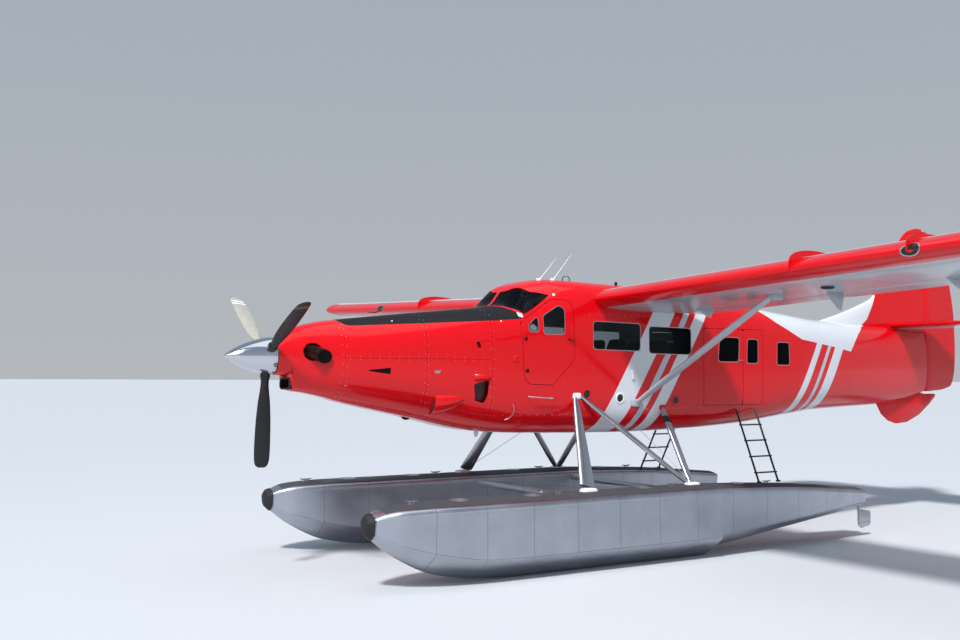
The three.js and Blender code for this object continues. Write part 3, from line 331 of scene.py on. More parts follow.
def bar(path, widths, depths, around=16, fore=(1, 0, 0), squared=1.0):
    """A bar along a path. At each point the ring is the middle plus width / 2 . cos t along the bar's
    fore direction and depth / 2 . sin t across it; squared below 1 makes the ring a rounded box."""
    path = np.asarray(path, float)
    along = unit(np.gradient(path, axis=0))
    u = np.asarray(fore, float) - along * (along @ np.asarray(fore, float))[:, None]
    u = unit(u)
    v = np.cross(along, u)
    t = 2 * np.pi * (np.arange(around) + 0.5) / around
    c, s = (np.sign(f) * np.abs(f) ** squared for f in (np.cos(t), np.sin(t)))
    half_w = np.broadcast_to(np.asarray(widths, float) / 2, len(path))[:, None, None]
    half_d = np.broadcast_to(np.asarray(depths, float) / 2, len(path))[:, None, None]
    return lofted(path[:, None] + u[:, None] * c[:, None] * half_w + v[:, None] * s[:, None] * half_d)


def pebble(middle, size, power=0.35, rows=10, around=20):
    """A block with soft edges, a superellipsoid: half size times cos v ** power cos u ** power,
    cos v ** power sin u ** power, sin v ** power, each power keeping its sign."""
    u = 2 * np.pi * (np.arange(around) + 0.5) / around
    v = np.linspace(-0.97, 0.97, rows) * np.pi / 2
    soft = [np.sign(f) * np.abs(f) ** power for f in (np.cos(u), np.sin(u), np.cos(v), np.sin(v))]
    ring = np.stack([soft[2][:, None] * soft[0], soft[2][:, None] * soft[1],
                     np.broadcast_to(soft[3][:, None], (rows, around))], -1)
    return lofted(ring * np.asarray(size, float) / 2 + middle)


def rounded(outline, radius, steps=5):
    """An outline whose corners are parabolas. Each starts radius / tan(half the corner's angle) before
    the corner, or at most 45% of the shorter edge, and ends as far after it."""
    p = np.asarray(outline, float)
    before, after = np.roll(p, 1, 0) - p, np.roll(p, -1, 0) - p
    lb, la = (np.linalg.norm(e, axis=1, keepdims=True) for e in (before, after))
    half = 0.5 * np.arccos(np.clip((before / lb * after / la).sum(1, keepdims=True), -1, 1))
    reach = np.minimum(radius / np.tan(half), 0.45 * np.minimum(lb, la))
    start, end = p + before / lb * reach, p + after / la * reach
    t = np.linspace(0, 1, steps)[None, :, None]
    curve = (1 - t) ** 2 * start[:, None] + 2 * t * (1 - t) * p[:, None] + t * t * end[:, None]
    return curve.reshape(-1, 2)


def dense(loop, step):
    """The same closed outline with its long edges split into pieces no longer than a step."""
    following = np.roll(loop, -1, 0)
    counts = np.ceil(np.linalg.norm(following - loop, axis=1) / step).astype(int).clip(1)
    share = np.concatenate([np.arange(n) / n for n in counts])[:, None]
    start = np.repeat(loop, counts, axis=0)
    return start + (np.repeat(following, counts, axis=0) - start) * share


def outset(outline, distance):
    """An outline moved out by a distance: each corner goes along the sum of its edges' normals."""
    p = np.asarray(outline, float)
    before, after = unit(p - np.roll(p, 1, 0)), unit(np.roll(p, -1, 0) - p)
    area = (p[:, 0] * np.roll(p[:, 1], -1) - p[:, 1] * np.roll(p[:, 0], -1)).sum()
    n0, n1 = (np.stack([e[:, 1], -e[:, 0]], 1) * np.sign(area) for e in (before, after))
    return p + (n0 + n1) * distance / (1 + (n0 * n1).sum(1, keepdims=True))


def inside(points, loops):
    """Whether points lie inside an odd number of loops, counted by the edges that a ray to +x crosses."""
    crossings = np.zeros(len(points), int)
    for loop in loops:
        a, b = loop[None], np.roll(loop, -1, 0)[None]
        x, y = points[:, :1], points[:, 1:]
        spans = (a[..., 1] > y) != (b[..., 1] > y)
        rise = np.where(spans, b[..., 1] - a[..., 1], 1.0)
        crossings += (spans & (x < a[..., 0] + (y - a[..., 1]) / rise * (b[..., 0] - a[..., 0]))).sum(1)
    return crossings % 2 == 1


print("outline helpers ready")

# %% [markdown]
# ## Paint and metal
# The skin is riveted aluminium sheet under polyurethane enamel: an even, deep colour with a clear gloss
# and a very slight ripple where sheets pull between their frames. Colours differ by place: the enamel
# turns white on the spine and in slanted bands along the sides, and black ahead of the windshield so
# that sun doesn't glare off the cowl. The pattern reads Object coordinates, moved to stations and
# heights by a Mapping node, so it runs on unbroken from panel to panel.

# %% Fuselage livery
SPINE_EDGE = [  # station and height of the white spine's lower edge, metres
    (6.3, 1.25), (7.5, 0.98), (8.1, 0.62), (8.7, 0.36), (9.6, 0.26), (10.13, 0.19), (10.294, 0.357),
    (10.468, 0.489), (10.759, 0.628), (11.013, 0.669), (11.168, 0.781), (11.442, 1.218), (11.6, 2.9),
]
BANDS = [  # station of a slanted band's middle at thrust height, its width and colour
    (5.32, 0.42, WHITE), (5.76, 0.11, STRIPE_GREY), (6.05, 0.22, WHITE),
    (9.0, 0.16, WHITE), (9.32, 0.09, STRIPE_GREY), (9.62, 0.26, WHITE),
]
BAND_SLANT = 0.62  # metres aft for each metre up
BLACK_PANEL = [  # station and height of the anti-glare panel's lower edge, metres
    (0.862, 0.6), (0.872, 0.45), (0.925, 0.398), (1.0, 0.388), (1.99, 0.44), (2.9, 0.494), (3.257, 0.522),
    (3.31, 0.535), (3.34, 0.8),
]
CURVE_TOP = 3.0  # metres; the curve nodes that draw those edges run from 0 to 1


def livery_enamel(name, base):
    """Gloss enamel whose colour is chosen by station and height, one comparison for each paint line."""
    material, tree, place = finish(name)
    shifted = add_node(tree, "Mapping", {"Vector": place, "Location": (STATION_ORIGIN, 0, -KEEL_DEPTH)})
    axes = add_node(tree, "SeparateXYZ", {"Vector": shifted})
    station, height = axes.outputs["X"], axes.outputs["Z"]
    slanted = add_node(tree, "Math", {0: height, 1: -BAND_SLANT, 2: station},
                       operation="MULTIPLY_ADD")
    tone = mottled(tree, place, base, 0.93, 1.06, 0.7, 3.0)[1]
    for middle, width, band_hex in BANDS:
        within = add_node(tree, "Math", {0: slanted, 1: middle, 2: width / 2}, operation="COMPARE")
        tone = add_node(tree, "Mix", {"Factor": within, "A": tone, "B": colour(band_hex)},
                        data_type="RGBA")
    for line, paint_hex in ((SPINE_EDGE, WHITE), (BLACK_PANEL, "#08090b")):
        x0, x1 = line[0][0], line[-1][0]
        along = add_node(tree, "MapRange", {"Value": station, "From Min": x0, "From Max": x1})
        edge = add_node(tree, "FloatCurve", {"Value": along})
        curve = edge.mapping.curves[0]
        for i, (x, z) in enumerate(line):
            at = ((x - x0) / (x1 - x0), z / CURVE_TOP)
            ends = {0: 0, len(line) - 1: -1}
            point = curve.points[ends[i]] if i in ends else curve.points.new(*at)
            point.location, point.handle_type = at, "VECTOR"
        edge.mapping.update()
        level = add_node(tree, "Math", {0: edge, 1: CURVE_TOP}, operation="MULTIPLY")
        above = add_node(tree, "Math", {0: height, 1: level}, operation="GREATER_THAN")
        from_x = add_node(tree, "Math", {0: station, 1: x0}, operation="GREATER_THAN")
        to_x = add_node(tree, "Math", {0: station, 1: x1}, operation="LESS_THAN")
        both = add_node(tree, "Math", {0: above, 1: from_x}, operation="MULTIPLY")
        mask = add_node(tree, "Math", {0: both, 1: to_x}, operation="MULTIPLY")
        tone = add_node(tree, "Mix", {"Factor": mask, "A": tone, "B": colour(paint_hex)},
                        data_type="RGBA")
    finish_enamel(tree, place, tone, matt=mask)
    return material


def finish_enamel(tree, place, tone, roughness=0.14, matt=None):
    """The gloss over the colour: sheets ripple between frames about 500 mm apart, and dust dulls them.
    Where the socket matt gives 1 the paint is anti-glare black, rough and without its coat."""
    wave = add_node(tree, "TexNoise", {"Vector": place, "Scale": 2.0, "Detail": 1.0})
    rough = add_node(tree, "MapRange", {"Value": wave, "To Min": roughness - 0.05,
                                                  "To Max": roughness + 0.07})
    coat = 0.22
    if matt is not None:
        rough = add_node(tree, "Math", {0: matt, 1: 0.45, 2: rough}, operation="MULTIPLY_ADD")
        coat = add_node(tree, "MapRange", {"Value": matt, "To Min": coat, "To Max": 0.0})
    bump = add_node(tree, "Bump", {"Height": wave, "Strength": 0.12,
                                             "Distance": 0.03})
    shader = add_node(tree, "BsdfPrincipled", {
        "Base Color": tone, "Roughness": rough, "IOR": 1.5, "Specular IOR Level": 0.3,
        "Coat Weight": coat, "Coat Roughness": 0.03, "Normal": bump})
    add_node(tree, "OutputMaterial", {"Surface": shader})


fuselage_enamel = livery_enamel("polyurethane_enamel_livery", RED)  # gloss in every colour but the black


def enamel(name, base, roughness=0.14):
    """Gloss enamel of one colour, a little faded here and there."""
    material, tree, place = finish(name)
    finish_enamel(tree, place, mottled(tree, place, base, 0.9, 1.07, 0.9)[1], roughness)
    return material


red_enamel = enamel("polyurethane_enamel_red", RED)  # deep and wet, a little uneven where it has faded
grey_enamel = enamel("polyurethane_enamel_grey", "#a9aeb5", 0.28)  # softer shine, as paint over metal
white_enamel = enamel("polyurethane_enamel_white", "#e9ebee", 0.2)  # bright, so small fittings stand out
print("enamels", red_enamel.name, grey_enamel.name, white_enamel.name)

# %% [markdown]
# ## Plain finishes
# Metal, rubber, plastic and tread differ in colour, in roughness and in how strongly a fine noise mottles
# and dents them. Acrylic glass lets most light through and mirrors more of it as it is seen flatter.

# %% Plain finishes
def plain(name, hex_value, scale=9.0, grain=0.05, spread=0.16, **shader_inputs):
    """A finish of one colour, mottled by a spread either way, with a faint grain of the same noise."""
    material, tree, place = finish(name)
    noise, tone = mottled(tree, place, hex_value, 1 - spread, 1 + spread, scale)
    bump = add_node(tree, "Bump", {"Height": noise, "Strength": grain, "Distance": 0.01})
    shader = add_node(tree, "BsdfPrincipled", {"Base Color": tone,
                                                         "Normal": bump})
    for key, value in shader_inputs.items():
        shader.inputs[key.replace("_", " ")].default_value = value
    add_node(tree, "OutputMaterial", {"Surface": shader})
    return material


# a blurred, cool mirror, cloudy from handling
bare_aluminium = plain("bare_aluminium_sheet", "#b2b6bc", Metallic=1.0, Roughness=0.36)
# a clean mirror that shows sky above and floor below
polished_aluminium = plain("polished_aluminium", "#c9ccd1", 3.0, 0.02, 0.05, Metallic=1.0, Roughness=0.09)
# dark and dull, with a grain that catches the light
black_rubber = plain("black_rubber", "#17181a", 30.0, 0.2, Roughness=0.7)
# nearly black, with a soft shine along its edges
black_epoxy = plain("black_epoxy_paint", "#0d0d0f", Roughness=0.38)
# painted shade: a near-black colour that stands for the shade inside openings, from which no light comes back
painted_shade_black = plain("painted_shade_matt_black", "#060607", Roughness=0.9)
# pale and even, so the cabin doesn't look empty through the glass
cabin_plastic = plain("grey_moulded_trim", "#b4b7ba", Roughness=0.6)
# gritty and dark beside the bright hulls
deck_tread = plain("non_slip_deck_paint", "#3c3f44", 60.0, 0.4, Roughness=0.85)

glazing, tree, place = finish("acrylic_glazing")  # see-through from straight on, a mirror at its edges
haze = add_node(tree, "TexNoise", {"Vector": place, "Scale": 3.0})
rough = add_node(tree, "MapRange", {"Value": haze, "To Min": 0.02, "To Max": 0.05})
clear = add_node(tree, "BsdfTransparent", {"Color": colour("#e9eef0")})
gloss = add_node(tree, "BsdfPrincipled", {"Base Color": colour("#0a0d11"), "IOR": 1.49,
                                                    "Roughness": rough})
sheen = add_node(tree, "Fresnel", {"IOR": 1.49})
share = add_node(tree, "MapRange", {"Value": sheen, "To Min": 0.08, "To Max": 1.0})
both = add_node(tree, "MixShader", {"Fac": share, 1: clear,
                                              2: gloss})
add_node(tree, "OutputMaterial", {"Surface": both})
print("finishes", len(bpy.data.materials))

# %% [markdown]
# ## The fuselage as one function
# Every section across the fuselage is a superellipse: a round in the nose that grows squarer towards
# the cabin, with different depths above and below the thrust line. The table gives the sections that
# count and a monotone cubic runs between them, which never overshoots, so no bulges appear.

# %% Fuselage surface
SECTIONS = np.array([  # station, half width, top, bottom, squareness above, squareness below
    (95, 234, 222, -236, 2.0, 2.0), (250, 266, 318, -262, 2.0, 2.0), (266, 270, 326, -410, 2.0, 2.5),
    (300, 282, 342, -432, 2.0, 2.6), (450, 326, 396, -456, 2.1, 2.6), (740, 408, 456, -520, 2.2, 2.6),
    (960, 470, 482, -582, 2.3, 2.6), (1870, 640, 582, -780, 2.8, 2.8), (2820, 775, 680, -975, 3.6, 3.6),
    (3235, 812, 741, -1010, 3.6, 4.2), (3436, 820, 958, -1018, 2.8, 4.4), (3500, 822, 1025, -1020, 2.7, 4.5),
    (3720, 826, 1096, -1025, 3.0, 4.6), (3950, 830, 1126, -1030, 3.8, 4.8),
    (4480, 832, 1110, -1040, 5.0, 5.0), (5210, 832, 1092, -1050, 5.0, 5.0),
    (6460, 832, 1030, -1025, 5.0, 5.0), (7500, 825, 905, -975, 4.8, 4.6),
    (8600, 780, 790, -865, 4.2, 4.0), (9490, 655, 722, -790, 3.6, 3.4),
    (10500, 490, 690, -752, 3.0, 3.0), (11300, 345, 668, -725, 2.6, 2.8),
    (12100, 205, 645, -640, 2.4, 2.6), (12785, 92, 620, -505, 2.2, 2.4),
])


def monotone(x, xs, ys):
    """A cubic between the table's points. Each slope is the harmonic mean of its two neighbours', or
    nought where they differ in sign, so the curve has no bump that the table lacks."""
    step = np.diff(xs)
    rise = np.diff(ys) / step
    with np.errstate(divide="ignore", invalid="ignore"):
        middle = np.where(rise[:-1] * rise[1:] > 0, 2 / (1 / rise[:-1] + 1 / rise[1:]), 0.0)
    slope = np.concatenate([rise[:1], middle, rise[-1:]])
    k = np.clip(np.searchsorted(xs, x) - 1, 0, len(xs) - 2)
    t, h = (x - xs[k]) / step[k], step[k]
    return ((1 + 2 * t) * (1 - t) ** 2 * ys[k] + t * (1 - t) ** 2 * h * slope[k]
            + t * t * (3 - 2 * t) * ys[k + 1] + t * t * (t - 1) * h * slope[k + 1])


def hull_shape(x, above):
    """Half width, height and squareness of the section at a station, above or below the thrust line."""
    width, top, bottom, up_n, low_n = (monotone(x, SECTIONS[:, 0], SECTIONS[:, c]) for c in range(1, 6))
    return width, np.where(above, top, -bottom), np.where(above, up_n, low_n)


def hull_surface(x, phi):
    """The port skin. phi turns from straight down, -90 degrees, through the side, 0, to straight up, 90.
    The radius solves |y / width| ** n + |z / height| ** n = 1 along that direction."""
    x, phi = np.broadcast_arrays(np.asarray(x, float), np.radians(phi))
    width, tall, n = hull_shape(x, phi > 0)
    radius = ((np.abs(np.cos(phi)) / width) ** n + (np.abs(np.sin(phi)) / tall) ** n) ** (-1 / n)
    return np.stack([x, -radius * np.cos(phi), radius * np.sin(phi)], -1)


def hull_normal(x, phi):
    """The outward direction: the cross product of a small step aft and a small step up the skin."""
    aft = hull_surface(np.minimum(x + 3, 12785), phi) - hull_surface(np.maximum(x - 3, 95), phi)
    low, high = np.maximum(phi - 0.2, -90), np.minimum(phi + 0.2, 90)
    square = unit(np.cross(aft, hull_surface(x, high) - hull_surface(x, low)))
    square[..., 1] *= np.abs(phi) < 89.99
    return unit(square)


def hull_angle(x, z):
    """The angle at which the port skin passes a height at a station; past the top it stays at 90."""
    x, z = np.asarray(x, float), np.asarray(z, float)
    width, tall, n = hull_shape(x, z > 0)
    share = np.clip(np.abs(z) / tall, 0, 1)
    return np.degrees(np.arctan2(z, width * (1 - share ** n) ** (1 / n)))


REFERENCE_X, PANEL_STEP, BEND_STEP = 5210, 50, 7.0
ref_phi = np.linspace(-90, 90, 1441)
ref_line = hull_surface(REFERENCE_X, ref_phi)
ref_leg = np.diff(ref_line, axis=0)
ref_turn = np.abs(np.diff(np.unwrap(np.arctan2(ref_leg[:, 2], ref_leg[:, 1])), prepend=np.pi))
girth = np.concatenate([[0], np.cumsum(np.linalg.norm(ref_leg, axis=1)
                                       + np.degrees(ref_turn) * PANEL_STEP / BEND_STEP)])


def girth_of(phi):
    """A measure up the skin that grows with the way along the reference section and with its bend."""
    return np.interp(phi, ref_phi, girth)


print("cabin half width", hull_surface(5210, 0)[1].round(1), "girth", girth[-1].round())

# %% [markdown]
# ## Sheets cut like real sheets
# A skin panel is cut from that surface by its outline, with its windows and doors as holes. Delaunay's
# rule fills the outline with well-shaped triangles, in a plane of station and girth, and each point is
# then put on the surface. Real panels meet with a gap of a few millimetres, show their rivets, and have
# thickness where they are cut, so a rim joins the outer sheet to an inner one.

# %% Skin panels
def side_loop(outline, radius=0.0, step=40.0):
    """A closed outline of station and height with rounded corners, as station and angle on the port skin."""
    loop = np.asarray(outline, float)
    loop = dense(rounded(loop, radius) if radius else loop, step)
    return np.stack([loop[:, 0], hull_angle(loop[:, 0], loop[:, 1])], 1)


def strip_loop(x0, x1, low=None, high=None, gap=1.5):
    """The outline of a panel between two stations and two heights; None runs to the middle line."""
    xs = np.linspace(x0 + gap, x1 - gap, max(3, int((x1 - x0) / 40)))
    bottom = hull_angle(xs, np.full(len(xs), low + gap)) if low is not None else np.full(len(xs), -90.0)
    top = hull_angle(xs, np.full(len(xs), high - gap)) if high is not None else np.full(len(xs), 90.0)
    rows = 60
    share = np.linspace(0, 1, rows)[1:-1]
    up = bottom[-1] + (top[-1] - bottom[-1]) * share
    down = top[0] + (bottom[0] - top[0]) * share
    return np.concatenate([np.stack([xs, bottom], 1), np.stack([np.full(rows - 2, xs[-1]), up], 1),
                           np.stack([xs, top], 1)[::-1], np.stack([np.full(rows - 2, xs[0]), down], 1)])


def skin_sheet(outline, holes=(), step=PANEL_STEP):
    """Points, normals and triangles of a port sheet. Grid points stand inside the outline, away from its
    edges, and Delaunay's rule joins them with the outline; triangles in holes are dropped."""
    loops = [np.stack([loop[:, 0], girth_of(loop[:, 1])], 1) for loop in (outline, *holes)]
    low, high = loops[0].min(0), loops[0].max(0)
    xs, gs = (np.linspace(low[k], high[k], max(2, int((high[k] - low[k]) / step) + 1))[1:-1] for k in (0, 1))
    grid = np.stack(np.meshgrid(xs, gs, indexing="ij"), -1).reshape(-1, 2)
    grid = grid[inside(grid, loops)] if len(grid) else np.zeros((0, 2))
    edges, rim, count = [], np.concatenate(loops), 0
    for loop in loops:
        a, b = loop[None], np.roll(loop, -1, 0)[None]
        along = b - a
        t = np.clip(((grid[:, None] - a) * along).sum(-1) / np.maximum((along ** 2).sum(-1), 1e-9), 0, 1)
        away = np.linalg.norm(grid[:, None] - a - along * t[..., None], axis=-1).min(1)
        grid = grid[away > step * 0.4]
        edges += [(count + i, count + (i + 1) % len(loop)) for i in range(len(loop))]
        count += len(loop)
    flat = np.concatenate([rim, grid])
    made, _, cells = geometry.delaunay_2d_cdt([Vector(p) for p in flat.tolist()], edges, [], 0, 1e-4)[:3]
    flat, cells = np.array([tuple(p) for p in made]), np.array(cells)
    cells = cells[inside(flat[cells].mean(1), loops)]
    used, cells = np.unique(cells, return_inverse=True)
    flat = flat[used]
    phi = np.interp(flat[:, 1], girth, ref_phi)
    return hull_surface(flat[:, 0], phi), hull_normal(flat[:, 0], phi), cells.reshape(-1, 3)


def both_sides(port, starboard=None):
    """A port sheet and one for starboard, its own image by default, welded along the middle line."""
    other = starboard or port
    points = np.concatenate([port[0], other[0] * (1, -1, 1)])
    normals = np.concatenate([port[1], other[1] * (1, -1, 1)])
    cells = np.concatenate([port[2], other[2][:, ::-1] + len(port[0])])
    _, first, back = np.unique(points.round(2), axis=0, return_index=True, return_inverse=True)
    return points[first], normals[first], back.ravel()[cells]


def thickened(sheet, thick, proud=0.0):
    """A closed shell: the sheet moved out by proud, the same sheet a thickness further in with its faces
    turned, and quads along every edge that only one triangle has."""
    points, normals, cells = sheet
    outer, inner = points + normals * proud, points + normals * (proud - thick)
    edges = np.concatenate([cells[:, [0, 1]], cells[:, [1, 2]], cells[:, [2, 0]]])
    _, first, uses = np.unique(np.sort(edges, 1), axis=0, return_index=True, return_counts=True)
    free = edges[first[uses == 1]]
    n = len(points)
    rim = np.stack([free[:, 1], free[:, 0], free[:, 0] + n, free[:, 1] + n], 1)
    both = np.concatenate([outer, inner])
    flat = unit(np.cross(both[rim[:, 1]] - both[rim[:, 0]], both[rim[:, 3]] - both[rim[:, 0]]))
    corner_normals = np.concatenate([normals[cells.ravel()], -normals[cells[:, ::-1].ravel()],
                                     np.repeat(flat, 4, axis=0)])
    return both, [cells, cells[:, ::-1] + n, rim], corner_normals


SHEET_THICK = 12.0  # thicker than real sheet, so that cut edges show
NOSE_FACE, CHIN_BACK, NOSE_SEAM, MID_SEAM, FIREWALL_X, TAIL_SEAM = 95, 330, 865, 1915, 2820, 8600
COWL_SPLIT = -20  # height of the seam between the upper and lower cowls
EXHAUST_HOLE = {"x": 482, "z": 52, "radius": 112}


def whole_skin(sheet):
    """A port sheet and its image, welded along the middle line, as a shell of the skin's thickness."""
    return thickened(both_sides(sheet), SHEET_THICK)


def circle_loop(x, z, radius, count=40):
    """A round hole seen square to the side: x + r cos t, z + r sin t."""
    t = np.linspace(0, 2 * np.pi, count, endpoint=False)
    return side_loop(np.stack([x + radius * np.cos(t), z + radius * np.sin(t)], 1))


exhaust_hole = circle_loop(EXHAUST_HOLE["x"], EXHAUST_HOLE["z"], EXHAUST_HOLE["radius"])
bowl = skin_sheet(strip_loop(CHIN_BACK, NOSE_SEAM, gap=0), [exhaust_hole], 38)
bowl_stations = np.concatenate([[NOSE_FACE, 98, 104], np.linspace(115, 246, 9), np.linspace(250, 268, 10),
                                [274, 284, 296, 312, CHIN_BACK]])
x, phi = np.meshgrid(bowl_stations, np.linspace(-90, 90, 91), indexing="ij")
quads = grid_faces(*x.shape)
points, normals = hull_surface(x, phi).reshape(-1, 3), hull_normal(x, phi).reshape(-1, 3)
cells = np.concatenate([quads[:, :3], quads[:, [0, 2, 3]]])[:, ::-1]
CHIN_MOUTH = dense(rounded([(-160, -404), (160, -404), (150, -272), (-150, -272)], 62, 7), 20)
CHIN_FACE_TO = 290  # the mouth is cut only in the faces ahead of this station
middles = points[cells].mean(1)
in_mouth = inside(middles[:, 1:], [CHIN_MOUTH]) & (middles[:, 0] < CHIN_FACE_TO)
front = points, normals, cells[~in_mouth]
for name, sheet, node in (("nose_bowl_front", front, ["nose_bowl"]), ("nose_bowl_skin", bowl, [])):
    mesh_piece(name, whole_skin(sheet), fuselage_enamel, stands_for=node)
print("nose bowl triangles", 4 * len(bowl[2]))

# %% [markdown]
# ## Cowls
# The engine is covered by an upper and a lower cowl, each in a front and a rear sheet. The outlets cut in
# them have a lining close behind, coloured dark as painted shade, so that they read as deep.

# %% Cowls
NOTCH = [(1105, -174), (1440, -138), (1440, -222)]
LOUVRE = [(2590, 205), (2635, 205), (2660, 128), (2615, 128)]
OUTLET = [(2560, -345), (2775, -295), (2765, -480), (2725, -600), (2590, -560)]

COWLS = [  # name, ends, heights, hole with its corner radius, node
    ("upper_cowl_front", (NOSE_SEAM, MID_SEAM), (COWL_SPLIT, None), None, ["upper_engine_cowl"]),
    ("upper_cowl_rear", (MID_SEAM, FIREWALL_X), (COWL_SPLIT, None), (LOUVRE, 6), []),
    ("lower_cowl_front", (NOSE_SEAM, MID_SEAM), (None, COWL_SPLIT), (NOTCH, 12), ["lower_engine_cowl"]),
    ("lower_cowl_rear", (MID_SEAM, FIREWALL_X), (None, COWL_SPLIT), (OUTLET, 30), []),
]
for name, ends, heights, hole, node in COWLS:
    sheet = skin_sheet(strip_loop(*ends, *heights), [side_loop(*hole, 20)] if hole else ())
    mesh_piece(name, whole_skin(sheet), fuselage_enamel, stands_for=node)
    print(name, 4 * len(sheet[2]), "triangles")


def backing(name, outline, depth, material=painted_shade_black, grow=30):
    """A lining a little behind an opening, on both sides, so that no light passes through it. Its dark colour
    is painted shade for the hollow behind the opening.
    """
    sheet = skin_sheet(side_loop(outset(outline, grow), 10, 30), step=60)
    pair(name, thickened(sheet, 4, -depth), material)


backing("notch_lining", NOTCH, 30)
backing("louvre_lining", LOUVRE, 40)
# painted shade: the outlet's lining is a dark red enamel that stands for the shade inside the outlet
backing("outlet_lining", OUTLET, 70, enamel("polyurethane_enamel_painted_shade", "#3a0508", 0.4))
print("cowl sheets", len(COWLS))

# %% [markdown]
# ## Cabin skin, doors and windows
# The cabin's sides, roof and belly are one riveted shell with cut-outs. The crew door follows the slope
# of the windshield post, and the large cabin doorway aft has two leaves on this side and one on the
# other. The shell is a port sheet and a starboard sheet welded along the middle line.

# %% Cabin shell
CREW_DOOR = [(3262, 471), (3300, -240), (3345, -310), (3410, -345), (3750, -355), (4120, 0),
             (4100, 700), (4070, 770), (4010, 800), (3789, 800)]
CREW_WINDOWS = {
    "quarter": [(3375, 345), (3545, 345), (3545, 560), (3500, 545), (3375, 440)],
    "main": [(3610, 320), (3955, 325), (3970, 650), (3935, 705), (3870, 725), (3620, 575)],
}
SIDE_WINDOWS = {
    "forward": [(4435, 130), (5290, 115), (5290, 515), (4435, 530)],
    "aft": [(5440, 85), (6260, 75), (6260, 475), (5440, 485)],
}
REAR_WINDOW = [(8070, -60), (8380, -60), (8370, 305), (8080, 305)]
MM_PER_DEGREE = 14.0  # along the skin near the windshield
WINDSHIELD = np.array([  # station and angle up the skin
    (3185, 92), (3160, 75), (3142, 61), (3198, 49.7), (3341, 37.1), (3600, 44.5), (3839, 51.7),
    (3570, 60.7), (3445, 80), (3430, 92)]) * (1, MM_PER_DEGREE)


def glass_edge(grow):
    """The windshield's outline grown by some millimetres, as station and angle up to the middle line."""
    loop = dense(outset(WINDSHIELD, grow), 25) / (1, MM_PER_DEGREE)
    return np.stack([loop[:, 0], np.minimum(loop[:, 1], 90)], 1)


DOORS = {  # body, side, outline, window, corner radius
    "left_cabin_door_front": (-1, [(6510, -660), (7320, -660), (7320, 480), (6510, 480)],
                              [(6790, -20), (7230, -20), (7250, 360), (6830, 360)]),
    "left_cabin_door_rear": (-1, [(7330, -660), (7750, -660), (7750, 480), (7330, 480)],
                             [(7395, -40), (7650, -40), (7650, 340), (7415, 340)]),
    "right_cabin_door": (1, [(6900, -660), (7660, -660), (7660, 480), (6900, 480)],
                         [(7070, -30), (7500, -30), (7500, 350), (7070, 350)]),
}
DOOR_GAP, DOOR_RADIUS, WINDOW_RADIUS = 8, 45, 60
LEFT_DOORWAY = [(6510, -660), (7750, -660), (7750, 480), (6510, 480)]
RIGHT_DOORWAY = DOORS["right_cabin_door"][1]

common = [side_loop(outset(CREW_DOOR, DOOR_GAP), 40), glass_edge(0)]
common += [side_loop(outline, WINDOW_RADIUS, 40) for outline in (*SIDE_WINDOWS.values(), REAR_WINDOW)]
cabin_loop = strip_loop(FIREWALL_X, TAIL_SEAM, gap=1)
port = skin_sheet(cabin_loop, [*common, side_loop(outset(LEFT_DOORWAY, DOOR_GAP), DOOR_RADIUS)])
starboard = skin_sheet(cabin_loop, [*common, side_loop(outset(RIGHT_DOORWAY, DOOR_GAP), DOOR_RADIUS)])
mesh_piece("cabin_shell", thickened(both_sides(port, starboard), SHEET_THICK), fuselage_enamel,
           stands_for=["left_side_wall", "right_side_wall", "cabin_roof", "belly_skin"])
print("cabin shell triangles", 2 * (len(port[2]) + len(starboard[2])))

# %% [markdown]
# ## Doors and windows
# Each leaf is its own sheet on its own body, so it swings with its hinge. Window glass sits a little
# behind the skin, held by a bright metal retainer inside a raised frame.

# %% Doors
def door_leaf(name, body, outline, windows, side, stands_for):
    """One leaf: an outer sheet with its windows cut out, and inside it a moulded lining as thick as the
    wall, with the same cut-outs and a little smaller all round."""
    holes = [side_loop(window, WINDOW_RADIUS * 0.8, 40) for window in windows]
    leaf = thickened(skin_sheet(side_loop(outline, DOOR_RADIUS), holes), 8)
    lining = thickened(skin_sheet(side_loop(outset(outline, -14), DOOR_RADIUS), holes), 26, -9)
    if side > 0:
        leaf, lining = mirrored(leaf), mirrored(lining)
    mesh_piece(f"{name}_skin", leaf, fuselage_enamel, body, stands_for)
    mesh_piece(f"{name}_lining", lining, cabin_plastic, body)


def window(name, body, outline, side=-1, radius=WINDOW_RADIUS, stands_for=(), frame_width=34):
    """Glass 5 mm thick, 14 mm under the skin, its bright retainer, and a raised frame round the opening."""
    edge = side_loop(outline, radius, 40)
    glass = thickened(skin_sheet(side_loop(outset(outline, 4), radius, 40), step=110), 5, -13.5)
    retainer = thickened(skin_sheet(side_loop(outset(outline, 5), radius, 40),
                                    [side_loop(outset(outline, -9), radius, 40)], 400), 9, 1.0)
    ring_loop = side_loop(outset(outline, frame_width), radius + 20, 40)
    frame_ring = thickened(skin_sheet(ring_loop, [edge], 400), 4, 2.5)
    if side > 0:
        glass, retainer, frame_ring = mirrored(glass), mirrored(retainer), mirrored(frame_ring)
    mesh_piece(f"{name}_glass", glass, glazing, body, stands_for)
    mesh_piece(f"{name}_retainer", retainer, bare_aluminium, body)
    mesh_piece(f"{name}_frame", frame_ring, fuselage_enamel, body)


